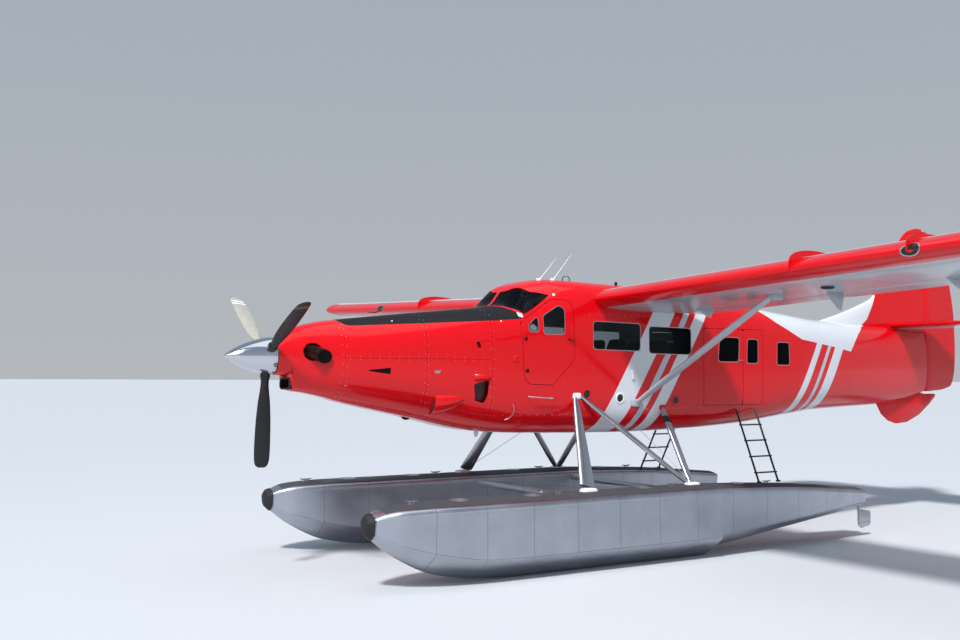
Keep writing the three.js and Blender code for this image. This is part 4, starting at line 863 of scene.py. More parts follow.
for side, hand in ((-1, "left"), (1, "right")):
    door_leaf(f"{hand}_crew_door", f"{hand}_crew_door", CREW_DOOR, CREW_WINDOWS.values(), side,
              [f"{hand}_crew_door"])
    for which, outline in CREW_WINDOWS.items():
        window(f"{hand}_crew_{which}_window", f"{hand}_crew_door", outline, side, 45,
               [f"{hand}_crew_door_glass"] if which == "main" else (), 20)
    for which, outline in SIDE_WINDOWS.items():
        window(f"{hand}_{which}_window", "airframe", outline, side, WINDOW_RADIUS,
               [f"{hand}_cabin_windows"] if which == "forward" else ())
    window(f"{hand}_rear_window", "airframe", REAR_WINDOW, side, 45, [f"{hand}_rear_window"], 26)
for name, (side, outline, opening) in DOORS.items():
    door_leaf(name, name, outline, [opening], side, [name])
    window(f"{name}_window", name, opening, side, 50, [f"{name}_glass"], 26)
print("doors", sorted(DOORS))

# %% [markdown]
# ## Windshield
# Two curved panes meet at a narrow post on the middle line. Their surround is the same outline grown a
# little, with the panes as holes.

# %% Windshield
POST_HALF = 1.9  # half the centre post's width, in degrees round the nose
pane_loop = glass_edge(-22)
pane_loop[:, 1] = np.minimum(pane_loop[:, 1], 90 - POST_HALF)
pane = thickened(skin_sheet(pane_loop, step=60), 7, -6)
surround = skin_sheet(glass_edge(14), [pane_loop], 120)
mesh_piece("windshield_panes", joined(pane, mirrored(pane)), glazing, stands_for=["windshield"])
mesh_piece("windshield_surround", thickened(both_sides(surround), 9, 3), red_enamel,
           stands_for=["windshield_frame"], slot="trim_white")
print("windshield triangles", len(pane[1][0]))

# %% [markdown]
# ## Wings
# The wing is one section carried straight out along a raised line: a camber line of two parabolas with
# a thickness law of five terms about it, pitched up a little. Flaps and ailerons hang in a slot from
# three quarters of the chord back, where the section ends in a round cove. The tip closes in a squared
# curve, 1 - share ** 4 under a root. An attribute says on which side of the camber line a point lies, so
# that paint can tell top from underside.

# %% Wing section
CHORD, LEADING_EDGE = 1980, (4486, 808)
INCIDENCE, DIHEDRAL = np.radians(4.6), np.radians(2.12)
THICKNESS, CAMBER, CAMBER_AT = 0.16, 0.035, 0.4
ROOT_Y, FLAP_IN_Y, SPLIT_Y, TIP_Y, END_Y = 600, 885, 4560, 8090, 8822
HINGE_AT, SURFACE_GAP = 0.745, 10


def wing_point(s, side, proud=0.0):
    """Station and height at a share s of the chord, on the camber line plus side times half the
    thickness: 0.2969 sqrt s - 0.126 s - 0.3516 s^2 + 0.2843 s^3 - 0.1015 s^4, times 5 and the thickness."""
    s = np.asarray(s, float)
    camber = np.where(s < CAMBER_AT, CAMBER / CAMBER_AT ** 2 * (2 * CAMBER_AT * s - s * s),
                      CAMBER / (1 - CAMBER_AT) ** 2 * (1 - 2 * CAMBER_AT + 2 * CAMBER_AT * s - s * s))
    half = 5 * THICKNESS * (0.2969 * np.sqrt(s) - 0.126 * s - 0.3516 * s ** 2
                            + 0.2843 * s ** 3 - 0.1015 * s ** 4)
    along, up = s * CHORD, (camber + side * half) * CHORD + side * proud
    return np.stack([LEADING_EDGE[0] + along * np.cos(INCIDENCE) + up * np.sin(INCIDENCE),
                     LEADING_EDGE[1] - along * np.sin(INCIDENCE) + up * np.cos(INCIDENCE)], -1)


hinge_top, hinge_low = wing_point(HINGE_AT, 1), wing_point(HINGE_AT, -1)
HINGE = (hinge_top + hinge_low) / 2
NOSE_RADIUS = (hinge_top[1] - hinge_low[1]) / 2 - 3


def arc(centre, radius, start, end, count):
    """Points on a circle between two angles in degrees: centre + radius (cos t, sin t)."""
    t = np.radians(np.linspace(start, end, count))
    return np.stack([centre[0] + radius * np.cos(t), centre[1] + radius * np.sin(t)], 1)


def raised(points):
    """Port points of station, distance out and height, turned up by the dihedral about the root line."""
    x, y, z = points[..., 0], points[..., 1], points[..., 2] - LEADING_EDGE[1]
    return np.stack([x, -(y * np.cos(DIHEDRAL) - z * np.sin(DIHEDRAL)),
                     LEADING_EDGE[1] + y * np.sin(DIHEDRAL) + z * np.cos(DIHEDRAL)], -1)


def wing_rings(outlines, ys):
    """Outlines of station and height put at distances out, then raised."""
    return raised(np.stack([np.c_[o[:, 0], np.full(len(o), y), o[:, 1]] for o, y in zip(outlines, ys)]))


nose_steps = np.linspace(0, 1, 26) ** 2
low_s, top_s = nose_steps * (HINGE_AT - 0.036), nose_steps * (HINGE_AT - 0.024)
cove = arc(HINGE, NOSE_RADIUS + SURFACE_GAP, 228, 132, 10)
box_outline = np.concatenate([wing_point(low_s, -1), cove, wing_point(top_s[:0:-1], 1)])
tail = wing_point(1.0, 0)
full_outline = np.concatenate([wing_point(nose_steps[:-1], -1), [tail - (0, 2), tail + (0, 2)],
                               wing_point(nose_steps[-2:0:-1], 1)])
side_of_box = np.concatenate([-np.ones(26), np.linspace(-1, 1, 10), np.ones(25)])
side_of_box[0] = 0
side_of_full = np.concatenate([-np.ones(25), [-1, 1], np.ones(24)])

ys = np.linspace(ROOT_Y, TIP_Y, 40)
main = lofted(wing_rings([box_outline] * len(ys), ys))
shares = np.sin(np.linspace(0, np.pi / 2, 14))
middle = np.array([LEADING_EDGE[0] + CHORD * 0.42, LEADING_EDGE[1] + 5])
tips = []
TIP_RISE, LEAST_CHORD, LEAST_THICK = 45, 0.35, 0.1
for share in shares:
    left_over = np.sqrt(1 - share ** 4)
    size, thin = max(LEAST_CHORD, left_over), max(LEAST_THICK, left_over)
    tips.append(np.c_[middle[0] + (full_outline[:, 0] - middle[0]) * size,
                      middle[1] + TIP_RISE * share + (full_outline[:, 1] - middle[1]) * size * thin])
tip = lofted(wing_rings(tips, TIP_Y - 1 + (END_Y - TIP_Y + 1) * shares))

flap_skin = np.array([0.8, 0.85, 0.9, 0.95])
flap_outline = np.concatenate([arc(HINGE, NOSE_RADIUS, 97, 263, 14), wing_point(flap_skin, -1),
                               [tail - (0, 2), tail + (0, 2)], wing_point(flap_skin[::-1], 1)])
side_of_flap = np.concatenate([np.linspace(1, -1, 14), -np.ones(4), [-1, 1], np.ones(4)])
flap_ys = np.linspace(FLAP_IN_Y, SPLIT_Y - SURFACE_GAP, 20)
aileron_ys = np.linspace(SPLIT_Y, TIP_Y - SURFACE_GAP, 20)
print("wing hinge", HINGE.round(1), "tip triangles", len(tip[1][0]) * 2)

# %% [markdown]
# ## Wing paint
# The white top and the grey underside meet along the camber line; the underside's darker grey is painted
# shade. The leading edge is red ahead of one station. Faint lines stand for the ribs under the sheet.

# %% Wing paint
RED_BACK_TO = 0.105  # share of the chord that the red leading edge covers


def wing_enamel(name, top_hex, underside_shade_hex, red_to=None, ribs=0.3):
    """Enamel on a wing: one colour above, a darker one below as painted shade, and red ahead of a station.
    Rib lines are drawn twice ribs metres apart. The rivets along them are too fine to show, so a line
    stands for them."""
    material, tree, place = finish(name)
    axes = add_node(tree, "SeparateXYZ", {"Vector": place})
    face = add_node(tree, "Attribute", attribute_name="skin_side").outputs["Fac"]
    upper = add_node(tree, "Math", {0: face, 1: 0.0}, operation="GREATER_THAN")
    tone = add_node(tree, "Mix", {"Factor": upper, "A": colour(underside_shade_hex),
                                            "B": colour(top_hex)}, data_type="RGBA")
    if red_to is not None:
        ahead_of = add_node(tree, "Math", {0: axes.outputs["X"], 1: red_to}, operation="LESS_THAN")
        tone = add_node(tree, "Mix", {"Factor": ahead_of, "A": tone,
                                                "B": colour(RED)}, data_type="RGBA")
    rib = add_node(tree, "Math", {0: axes.outputs["Y"], 1: ribs}, operation="PINGPONG")
    line = add_node(tree, "MapRange", {"Value": rib, "From Max": 0.012, "To Min": 0.0})
    dirt = add_node(tree, "TexNoise", {"Vector": place, "Scale": 1.6, "Detail": 5.0})
    worn = add_node(tree, "MapRange", {"Value": dirt, "To Min": 0.8, "To Max": 1.02})
    shaded = add_node(tree, "Mix", {"Factor": 1.0, "A": tone, "B": worn},
                      data_type="RGBA", blend_type="MULTIPLY")
    dull = add_node(tree, "MapRange", {"Value": dirt, "To Min": 0.14, "To Max": 0.3})
    bump = add_node(tree, "Bump", {"Height": line, "Strength": 0.35,
                                             "Distance": 0.004})
    shader = add_node(tree, "BsdfPrincipled", {
        "Base Color": shaded, "Roughness": dull, "IOR": 1.5,
        "Specular IOR Level": 0.3, "Coat Weight": 0.2, "Coat Roughness": 0.05,
        "Normal": bump})
    add_node(tree, "OutputMaterial", {"Surface": shader})
    return material


red_station = (LEADING_EDGE[0] + CHORD * RED_BACK_TO) / 1000 - STATION_ORIGIN
tail_red_station = 12.02 - STATION_ORIGIN
# a satin shine, dulled in patches by weather, whose grey underside is painted shade
wing_paint = wing_enamel("polyurethane_enamel_wing", WHITE, "#a4a9b0", red_station, 0.32)
# the tailplane and the flaps have the same painted shade on their undersides
tail_paint = wing_enamel("polyurethane_enamel_tailplane", WHITE, "#a4a9b0", tail_red_station, 0.3)
surface_paint = wing_enamel("polyurethane_enamel_flaps", WHITE, "#9ea3aa", None, 0.15)

sides = np.concatenate([np.tile(side_of_box, len(ys)), np.tile(side_of_full, len(shares))])
pair("wing_skin", joined(main, tip), wing_paint, stands_for="wing", fields={"skin_side": sides})
for name, stations in (("flap", flap_ys), ("aileron", aileron_ys)):
    part = lofted(wing_rings([flap_outline] * len(stations), stations))
    pair(f"{name}_skin", part, surface_paint, (f"left_{name}", f"right_{name}"), name,
         fields={"skin_side": np.tile(side_of_flap, len(stations))})
print("wing points", len(sides))

# %% [markdown]
# ## Fences and wing struts
# A fence is a thin plate that stands up from the wing's nose. The wing strut has a streamlined section
# that narrows at both ends, where a fitting joins it to the fuselage and to the wing.

# %% Fences and wing struts
def wing_fence(y, reach=0.33, height=95, ahead=14, thick=5):
    """A fence over the leading edge: from the skin up to height * sin(pi sqrt s) (1 - 0.3 s)."""
    s = np.linspace(0, 1, 30)
    skin = wing_point(s * s * reach, 1, -6)
    rise = height * np.sin(np.pi * np.sqrt(s)) * (1 - 0.3 * s)
    crest = skin + np.stack([-ahead * (1 - s), rise + 8], 1)
    outline = np.concatenate([skin, crest[::-1]])
    edges = y + np.array([-thick / 2 - 3, -thick / 2, thick / 2, thick / 2 + 3])
    return lofted(wing_rings([outline] * 4, edges))


FENCE_Y, OUTER_FENCE_Y = 4322, 5840
port_fences = joined(wing_fence(FENCE_Y, 0.6), wing_fence(OUTER_FENCE_Y, 0.3, 80))
mesh_piece("left_wing_fences", port_fences, red_enamel)
mesh_piece("right_wing_fence", mirrored(wing_fence(FENCE_Y, 0.55)), red_enamel)
WING_STRUT = {"foot": (5204, -845, -618), "head": (5390, -3292, 800), "chord": 165, "thick": 62}
line = np.linspace(WING_STRUT["foot"], WING_STRUT["head"], 9)
chords = WING_STRUT["chord"] * np.array([0.55, 0.85, 1, 1, 1, 1, 1, 0.85, 0.6])


def strut_skin(line, chords, thick, tail_draw=0.55):
    """A streamlined bar: half chord * cos t fore and aft, half thickness * sin t * (1 - draw * cos t) / 1.15
    across it."""
    t = 2 * np.pi * (np.arange(28) + 0.5) / 28
    line = np.asarray(line, float)
    along = unit(line[-1] - line[0])
    fore = unit(np.array([1.0, 0, 0]) - along * along[0])
    across = np.cross(along, fore)
    c, s = np.cos(t), np.sin(t) * (1 - tail_draw * np.cos(t)) / 1.15
    half = np.broadcast_to(np.asarray(chords, float) / 2, len(line))
    thin = np.broadcast_to(np.asarray(thick, float) / 2, len(line))
    spoke = fore * (half[:, None] * c)[..., None] + across * (thin[:, None] * s)[..., None]
    return lofted(line[:, None] + spoke)


strut_ends = [pebble(np.add(WING_STRUT["foot"], (0, -8, 6)), (190, 60, 110)),
              pebble(np.add(WING_STRUT["head"], (0, 0, -40)), (170, 70, 90))]
pair("wing_strut_skin", strut_skin(line, chords, WING_STRUT["thick"]), grey_enamel, stands_for="wing_strut")
pair("wing_strut_fittings", joined(*strut_ends), grey_enamel)
print("strut length", np.linalg.norm(line[-1] - line[0]).round())

# %% [markdown]
# ## Tail
# Fin, tailplane, rudder and elevator are thin lofts. The fixed surfaces have a round nose and end in a
# blunt edge ahead of the hinge; the moving ones start as a half cylinder about the hinge line, so they
# can turn without opening a gap, and taper to a thin edge. The rudder's thin horizontal ribs show as
# fine ridges in its skin.

# %% Fixed tail surfaces
FIN = np.array([  # height, nose, half thickness
    (600, 9350, 58), (745, 10040, 58), (940, 10730, 57), (1210, 11410, 55), (1800, 11850, 50),
    (2300, 12215, 44), (2450, 12390, 36), (2520, 12600, 20)], float)
RUDDER = np.array([  # height, aft edge, nose radius
    (-500, 12990, 34), (-465, 13380, 44), (-380, 13640, 50), (-90, 13745, 56), (300, 13775, 58),
    (860, 13755, 57), (1500, 13640, 53), (2100, 13440, 47), (2300, 13290, 44), (2430, 13060, 36),
    (2480, 12930, 26)], float)
RUDDER_HINGE_X = 12870
FIN_AFT = RUDDER_HINGE_X - RUDDER[:, 2].max() - 20  # ahead of the rudder's round nose, with a gap
TAILPLANE = {"z": 700, "root": 11750, "tip": 12060, "half_span": 3230, "hinge": 12735, "half": 42}


def fine_rows(table, count):
    """More rows of a table, read with the monotone cubic along its first column."""
    at = np.interp(np.linspace(0, len(table) - 1, count), np.arange(len(table)), table[:, 0])
    others = [monotone(at, table[:, 0], table[:, c]) for c in range(1, table.shape[1])]
    return np.column_stack([at, *others])


def fixed_section(nose, aft, half, count=16):
    """Half of a surface's section: thickness grows as (share / 0.42) ** 0.62 up to its full half."""
    s = np.linspace(0, 1, count)
    station = nose + (aft - nose) * s * s * (1.4 - 0.4 * s)
    thick = half * np.where(s > 0, np.minimum(1, (s / 0.42) ** 0.62), 0.0)
    return np.concatenate([np.stack([station, thick], 1), np.stack([station, -thick], 1)[:0:-1]])


def moving_section(hinge, aft, radius, count=11):
    """A half round nose about the hinge, then two straight faces to a thin edge."""
    nose = arc((hinge, 0), radius, 96, 264, count)
    s = np.linspace(0, 1, 8)[:, None]
    low, top = np.array([aft, -3.0]), np.array([aft, 3.0])
    return np.concatenate([nose, nose[-1] + (low - nose[-1]) * s[1:], top + (nose[0] - top) * s[:-1]])


fin_rows = fine_rows(FIN, 40)
fin_rings = []
for z, nose, half in fin_rows:
    section = fixed_section(nose, FIN_AFT, half)
    fin_rings.append(np.c_[section, np.full(len(section), z)])
mesh_piece("fin_skin", lofted(fin_rings), fuselage_enamel, stands_for=["fin"])

plane = TAILPLANE
half_rows = np.array([  # share of the half span, how far the nose is set back, thickness
    (1.0, 330, 0.3), (0.985, 150, 0.6), (0.93, 40, 0.85), (0.86, 0, 0.95), (0.05, 0, 1.3)])
half_rows = fine_rows(half_rows[::-1], 24)[::-1]
plane_rings, plane_sides = [], []
for share, back, thick in half_rows:
    nose = plane["root"] + (plane["tip"] - plane["root"]) * share + back
    section = fixed_section(nose, plane["hinge"] - plane["half"] - SURFACE_GAP, plane["half"] * thick)
    plane_rings.append(np.c_[section[:, 0], np.full(len(section), -share * plane["half_span"]),
                             plane["z"] + section[:, 1]])
    plane_sides.append(np.sign(section[:, 1]))
plane_rings = np.stack(plane_rings + [ring * (1, -1, 1) for ring in plane_rings[::-1]])
plane_sides = np.concatenate(plane_sides + plane_sides[::-1])
mesh_piece("tailplane_skin", lofted(plane_rings), tail_paint, stands_for=["tailplane"],
           fields={"skin_side": plane_sides})
print("tailplane span", 2 * plane["half_span"])

# %% [markdown]
# ## Rudder, elevator and tail cone
# The rudder and the elevator are lofts of the moving section, each on its own body. The rudder's ribs are
# its own outline at a height, grown a little. The tail cone is cut from the fuselage like the cabin shell.

# %% Moving tail surfaces
rudder_rings = []
for z, aft, radius in fine_rows(RUDDER, 44):
    section = moving_section(RUDDER_HINGE_X, aft, radius)
    rudder_rings.append(np.c_[section, np.full(len(section), z)])
rudder_rings = np.array(rudder_rings)
mesh_piece("rudder_skin", lofted(rudder_rings), red_enamel, "rudder", ["rudder"])


rib_parts = []
RIB_STEP, RIB_RISE, NOSE_POINTS = 170.0, 2.5, 11
for z in np.arange(-300, 2300, RIB_STEP):
    row = np.array([np.interp(z, rudder_rings[:, 0, 2], rudder_rings[:, j, k])
                    for j in range(rudder_rings.shape[1]) for k in range(3)]).reshape(-1, 3)
    flanks = row[NOSE_POINTS:]
    flanks = flanks + np.sign(flanks[:, 1:2]) * (0, RIB_RISE, 0)
    rib_parts.append(lofted([flanks + (0, 0, dz) for dz in (-7, -4, 4, 7)]))
mesh_piece("rudder_ribs", joined(*rib_parts), red_enamel, "rudder")

ELEVATOR = np.array([(135, 12960, 34), (420, 13460, 40), (2750, 13340, 38), (3080, 13240, 34),
                     (3210, 13040, 22)], float)
elevator_rings, elevator_sides = [], []
for y, aft, radius in fine_rows(ELEVATOR, 26):
    section = moving_section(TAILPLANE["hinge"], aft, radius)
    elevator_rings.append(np.c_[section[:, 0], np.full(len(section), -y), TAILPLANE["z"] + section[:, 1]])
    elevator_sides.append(np.sign(section[:, 1]))
half_elevator = lofted(elevator_rings)
tube = bar([(plane["hinge"], y, plane["z"]) for y in np.linspace(-200, 200, 5)], 44, 44)
elevator = joined(half_elevator, mirrored(half_elevator), tube)
mesh_piece("elevator_skin", elevator, surface_paint, "elevator", ["elevator"],
           fields={"skin_side": np.concatenate(elevator_sides * 2 + [np.zeros(len(tube[0]))])})

VENTRAL = [(11460, -600), (11470, -720), (11600, -900), (11780, -1020), (11990, -1078), (12300, -1055),
           (12650, -930), (12980, -720), (13190, -545), (12800, -545), (12600, -500)]


def slab(outline, y, half, soft=6.0, radius=40.0):
    """A plate of station and height about a side distance, its rim rounded over by soft."""
    loop = dense(rounded(outline, radius, 6), 60)
    inner = outset(loop, -soft)
    layers = [(-half, inner), (-half + soft * 0.6, loop), (half - soft * 0.6, loop), (half, inner)]
    return lofted([np.c_[o[:, 0], np.full(len(o), y + dy), o[:, 1]] for dy, o in layers])


mesh_piece("ventral_fin_skin", slab(VENTRAL, 0, 19, 14), red_enamel, stands_for=["ventral_fin"])

tail_sheet = both_sides(skin_sheet(strip_loop(TAIL_SEAM, 12785, gap=1), step=55))
mesh_piece("tail_cone_skin", thickened(tail_sheet, 8), fuselage_enamel, stands_for=["tail_cone"])
end_ring = hull_surface(np.full(61, 12784.0), np.linspace(-90, 90, 61))
end_ring = np.concatenate([end_ring, end_ring[-2:0:-1] * (1, -1, 1)])
tail_plug = lofted([end_ring, end_ring * (1, 0.97, 0.97) + (9, 0, 0)])
mesh_piece("tail_cone_end", tail_plug, red_enamel)
print("rudder ribs", len(rib_parts))

# %% [markdown]
# ## Floats
# Each float is a riveted aluminium hull: a vee bottom with a slight flare, flat sides, a hard chine with
# a spray rail, a rounded deck edge and a crowned deck. Two thirds aft, the bottom steps up. One
# function gives the section from a table of chine, deck, keel and edge heights, so bow, body and stern
# are one loft. The seams between its sheets are real on the hull and drawn with their rivets by bump.

# %% Float hulls
FLOAT_Y, KEEL_HALF, DECK_ROUND, DECK_CROWN = 1573, 22, 46, 36
DECK_TURN = 78  # degrees that the rounded deck edge turns before the crowned deck takes over
STEP_X = 5740  # where the bottom steps up
FLOAT_FORE = np.array([  # station, deck half, chine half, deck edge, chine, keel
    (610, 90, 75, -1858, -1985, -2035), (665, 130, 108, -1842, -2018, -2085),
    (760, 188, 168, -1805, -2072, -2165), (960, 272, 258, -1768, -2160, -2310),
    (1500, 372, 366, -1750, -2300, -2560), (2100, 392, 395, -1750, -2390, -2655),
    (2700, 392, 398, -1750, -2402, -2680), (5750, 392, 398, -1750, -2408, -2680)], float)
FLOAT_AFT = np.array([(5740, 392, 390, -1750, -2370, -2605), (7200, 350, 340, -1812, -2262, -2430),
                      (8900, 215, 200, -1950, -2135, -2230)], float)


def float_half(row):
    """Half a section, from keel to deck middle: the bottom's flare is 0.07 sin(pi t) of its height."""
    deck, chine, top, edge, keel = row[1:]
    t = np.linspace(0, 1, 8)
    bottom = np.stack([KEEL_HALF + (chine - KEEL_HALF) * t,
                       keel + (edge - keel) * (t - 0.07 * np.sin(np.pi * t))], 1)
    side = np.stack([chine + (deck - chine) * t[1:-1],
                     edge + 6 + (top - DECK_ROUND - edge - 6) * t[1:-1]], 1)
    turn = np.radians(np.linspace(0, DECK_TURN, 7))
    corner = np.stack([deck - DECK_ROUND * (1 - np.cos(turn)),
                       top - DECK_ROUND + DECK_ROUND * np.sin(turn)], 1)
    s = np.linspace(0, 1, 7)[1:]
    across = corner[-1, 0] * (1 - s)
    crown = np.stack([across, corner[-1, 1] + (DECK_CROWN * 0.9) * (1 - (1 - s) ** 2)], 1)
    return np.concatenate([bottom, side, corner, crown])


def float_ring(row, grow=0.0):
    """A whole section at its station: the half and its image, moved out by grow."""
    half = float_half(row)
    ring = np.concatenate([half, half[-2::-1] * (-1, 1)])
    if grow:
        ring = outset(ring, grow)
    return np.c_[np.full(len(ring), row[0]), ring[:, 0] - FLOAT_Y, ring[:, 1]]


fore_rows = fine_rows(FLOAT_FORE, 46)
aft_rows = fine_rows(FLOAT_AFT, 26)
nose_row = FLOAT_FORE[0] * (1, 0.7, 0.6, 1, 1, 1) + (-14, 0, 0, -14, 4, 8)
fore = lofted([float_ring(nose_row)] + [float_ring(row) for row in fore_rows])
aft_hull = lofted([float_ring(row) for row in aft_rows])


def float_line(table, column_y, column_z, out=0.0, low=None, high=None, count=60, lift=0.0):
    """Lines along a float's outer and inner side: two columns' half width and height between two ends."""
    xs = np.linspace(low or table[0, 0], high or table[-1, 0], count)
    wide, tall = (monotone(xs, table[:, 0], table[:, c]) for c in (column_y, column_z))
    return [np.stack([xs, -FLOAT_Y - way * (wide + out), tall + lift], 1) for way in (1, -1)]


rails = []
for table, low, high in ((FLOAT_FORE, 680, STEP_X), (FLOAT_AFT, STEP_X + 20, 8890)):
    for line in float_line(table, 2, 4, 3, low, high):
        rails.append(bar(line, 14, 16, 8, fore=(0, 0, 1)))
    for line in float_line(table, 1, 3, 1, low, high, lift=-DECK_ROUND - 8):
        rails.append(bar(line, 26, 7, 8, fore=(0, 0, 1)))


def hull_metal(name, base, seam_x=0.33, metallic=1.0, roughness=0.33):
    """Bare or silvered sheet: cross seams seam_x metres apart with a row of rivets beside each, darker in
    the laps, and broad dull patches where it has been handled. Rivets are 4 mm on the real hull and are
    drawn 12 by 16 mm every 60 mm, as coarse as they need to be to show."""
    material, tree, place = finish(name)
    axes = add_node(tree, "SeparateXYZ", {"Vector": place})
    lap = add_node(tree, "Math", {0: axes.outputs["X"], 1: seam_x / 2}, operation="PINGPONG")
    seam = add_node(tree, "MapRange", {"Value": lap, "From Max": 0.006, "To Min": 1.0,
                                                 "To Max": 0.0})
    near = add_node(tree, "Math", {0: lap, 1: 0.022, 2: 0.006}, operation="COMPARE")
    pitch_z = add_node(tree, "Math", {0: axes.outputs["Z"], 1: 0.03}, operation="PINGPONG")
    dot = add_node(tree, "Math", {0: pitch_z, 1: 0.008}, operation="LESS_THAN")
    rivet = add_node(tree, "Math", {0: near, 1: dot}, operation="MULTIPLY")
    patch, tone = mottled(tree, place, base, 0.72, 1.2, 2.4, 6.0, 0.6)
    lap_tone = (*(np.array(colour(base)[:3]) * 0.45), 1)
    shaded = add_node(tree, "Mix", {"Factor": seam, "A": tone,
                                              "B": lap_tone}, data_type="RGBA")
    dull = add_node(tree, "MapRange", {"Value": patch, "To Min": roughness - 0.08,
                                                 "To Max": roughness + 0.16})
    dent = add_node(tree, "TexNoise", {"Vector": place, "Scale": 3.2, "Detail": 1.0})
    relief = add_node(tree, "Math", {0: rivet, 1: 0.25, 2: dent},
                      operation="MULTIPLY_ADD")
    cut = add_node(tree, "Math", {0: seam, 1: -0.3, 2: relief},
                   operation="MULTIPLY_ADD")
    bump = add_node(tree, "Bump", {"Height": cut, "Strength": 0.3, "Distance": 0.02})
    shader = add_node(tree, "BsdfPrincipled", {
        "Base Color": shaded, "Metallic": metallic, "Roughness": dull,
        "Normal": bump})
    add_node(tree, "OutputMaterial", {"Surface": shader})
    return material


# a cool, blurred mirror broken by seams, dents and dull patches
float_metal = hull_metal("riveted_aluminium_hull", "#b4b9c2", 0.66)
# the same sheet, rolled and cleaner, so the struts read brighter than the hulls
strut_metal = hull_metal("rolled_aluminium_fairing", "#c3c6ca", 2.0, 1.0, 0.28)
print("float hull points", len(fore[0]) + len(aft_hull[0]))

# %% [markdown]
# ## Decks, hatches, cleats and bumpers
# Fittings stand on the crowned deck, whose height comes from the same table. The bow bumper is a few hull
# sections, grown a little and drawn in towards a blunt front.

# %% Float fittings and decks
def deck_strip(table, low, high, reach, lift=4.0, count=50, across=9):
    """A strip over the crowned deck: at share q of its reach, the crown's height there plus a lift."""
    xs = np.linspace(low, high, count)
    deck, top = monotone(xs, table[:, 0], table[:, 1]), monotone(xs, table[:, 0], table[:, 3])
    q = np.linspace(-reach, reach, across)
    flat_edge = deck - DECK_ROUND * (1 - np.cos(np.radians(DECK_TURN)))
    base = top - DECK_ROUND + DECK_ROUND * np.sin(np.radians(DECK_TURN))
    rise = base[:, None] + DECK_CROWN * 0.9 * (1 - q ** 2)
    upper = np.stack([np.repeat(xs[:, None], across, 1), -FLOAT_Y + flat_edge[:, None] * q, rise + lift], -1)
    ring = np.concatenate([upper, (upper - (0, 0, lift + 4))[:, ::-1]], 1)
    return lofted(ring)


def deck_height(x):
    """The height of the deck's middle at a station, fore or aft of the step."""
    table = FLOAT_FORE if x < STEP_X else FLOAT_AFT
    return float(monotone(np.array([x]), table[:, 0], table[:, 3])[0]) + DECK_CROWN - 6


pair("float_hull", joined(fore, aft_hull, *rails), float_metal, stands_for="float")
treads = [deck_strip(FLOAT_FORE, 790, STEP_X - 5, 0.93), deck_strip(FLOAT_AFT, STEP_X + 5, 8860, 0.93)]
pair("float_deck_tread", joined(*treads), deck_tread, slot="bumper_rubber")

HATCHES = [(1850, 120), (2900, 120), (4700, 110), (6400, 105), (7700, 85)]
lids = []
for x, radius in HATCHES:
    z = deck_height(x)
    angles = np.linspace(0, 2 * np.pi, 36, endpoint=False)
    profile = ((radius, -8), (radius, 6), (radius - 8, 11), (radius - 30, 11), (radius - 34, 8), (8, 9))
    ring = np.stack([np.cos(angles), np.sin(angles), np.zeros(36)], 1)
    lids.append(lofted([ring * r + (x, -FLOAT_Y, z + h) for r, h in profile]))
pair("float_hatches", joined(*lids), bare_aluminium)

cleats = []
for x in (1205, 3300, 5200, 7000):
    z = deck_height(x)
    sizes = [12, 18, 22, 18, 12]
    horn_line = [(x + dx, -FLOAT_Y, z + dz) for dx, dz in ((-84, 38), (-50, 31), (0, 29), (50, 31), (84, 38))]
    horn = bar(horn_line, sizes, sizes, 12, fore=(0, 1, 0))
    legs = [bar([(x + dx, -FLOAT_Y, z - 8), (x + dx, -FLOAT_Y, z + 28)], 20, 20, 12, fore=(0, 1, 0))
            for dx in (-26, 26)]
    foot = pebble((x, -FLOAT_Y, z), (120, 44, 12), 0.3, 6)
    cleats.append(joined(horn, *legs, foot))
pair("float_cleats", joined(*cleats), bare_aluminium)

bumper_rows = [  # station, size, growth over the hull
    (582, 0.72, 2), (586, 0.84, 4), (598, 0.95, 10), (612, 1.0, 16), (640, 1.0, 17), (665, 1.0, 16),
    (670, 1.0, 13), (672, 1.0, 10),
]
bumper_rings = []
for x, size, grow in bumper_rows:
    at = np.array([max(x, FLOAT_FORE[0, 0])])
    row = np.array([monotone(at, FLOAT_FORE[:, 0], FLOAT_FORE[:, c])[0] for c in range(6)])
    ring = float_ring(row, max(grow, 2))
    centre = np.array([0, -FLOAT_Y, (row[3] + row[5]) / 2])
    ring = centre + (ring - centre) * (1, size, size)
    ring[:, 0] = x
    bumper_rings.append(ring)
pair("bow_bumper_cap", lofted(bumper_rings), black_rubber, stands_for="bow_bumper")
print("cleats", len(cleats), "hatches", len(lids))

# %% [markdown]
# ## Float struts, spreader bars and wires
# On each side a broad front strut, a rear strut and a diagonal hold the float. Two tubes join the floats,
# and taut wires cross between them. Narrow bands stand for the laps in the front fairing.

# %% Float struts, spreaders, brace wires
FRONT_TOP, FRONT_FOOT = np.array([4150, -800, -520]), np.array([3780, -FLOAT_Y, -1745])
REAR_TOP, REAR_FOOT = np.array([5720, -800, -690]), np.array([5565, -FLOAT_Y, -1745])
DIAGONAL_TOP = FRONT_TOP + (64, -6, 30)
FRONT_CHORDS = [60, 108, 118, 126, 138, 148, 158, 168, 178, 190, 200, 212, 224, 235]
REAR_CHORDS = [70, 112, 120, 120, 120, 120, 120, 112, 80]
DIAGONAL_CHORDS = [50, 80, 88, 88, 88, 88, 88, 80, 50]
front_run, rear_run = FRONT_FOOT - FRONT_TOP, REAR_FOOT - REAR_TOP

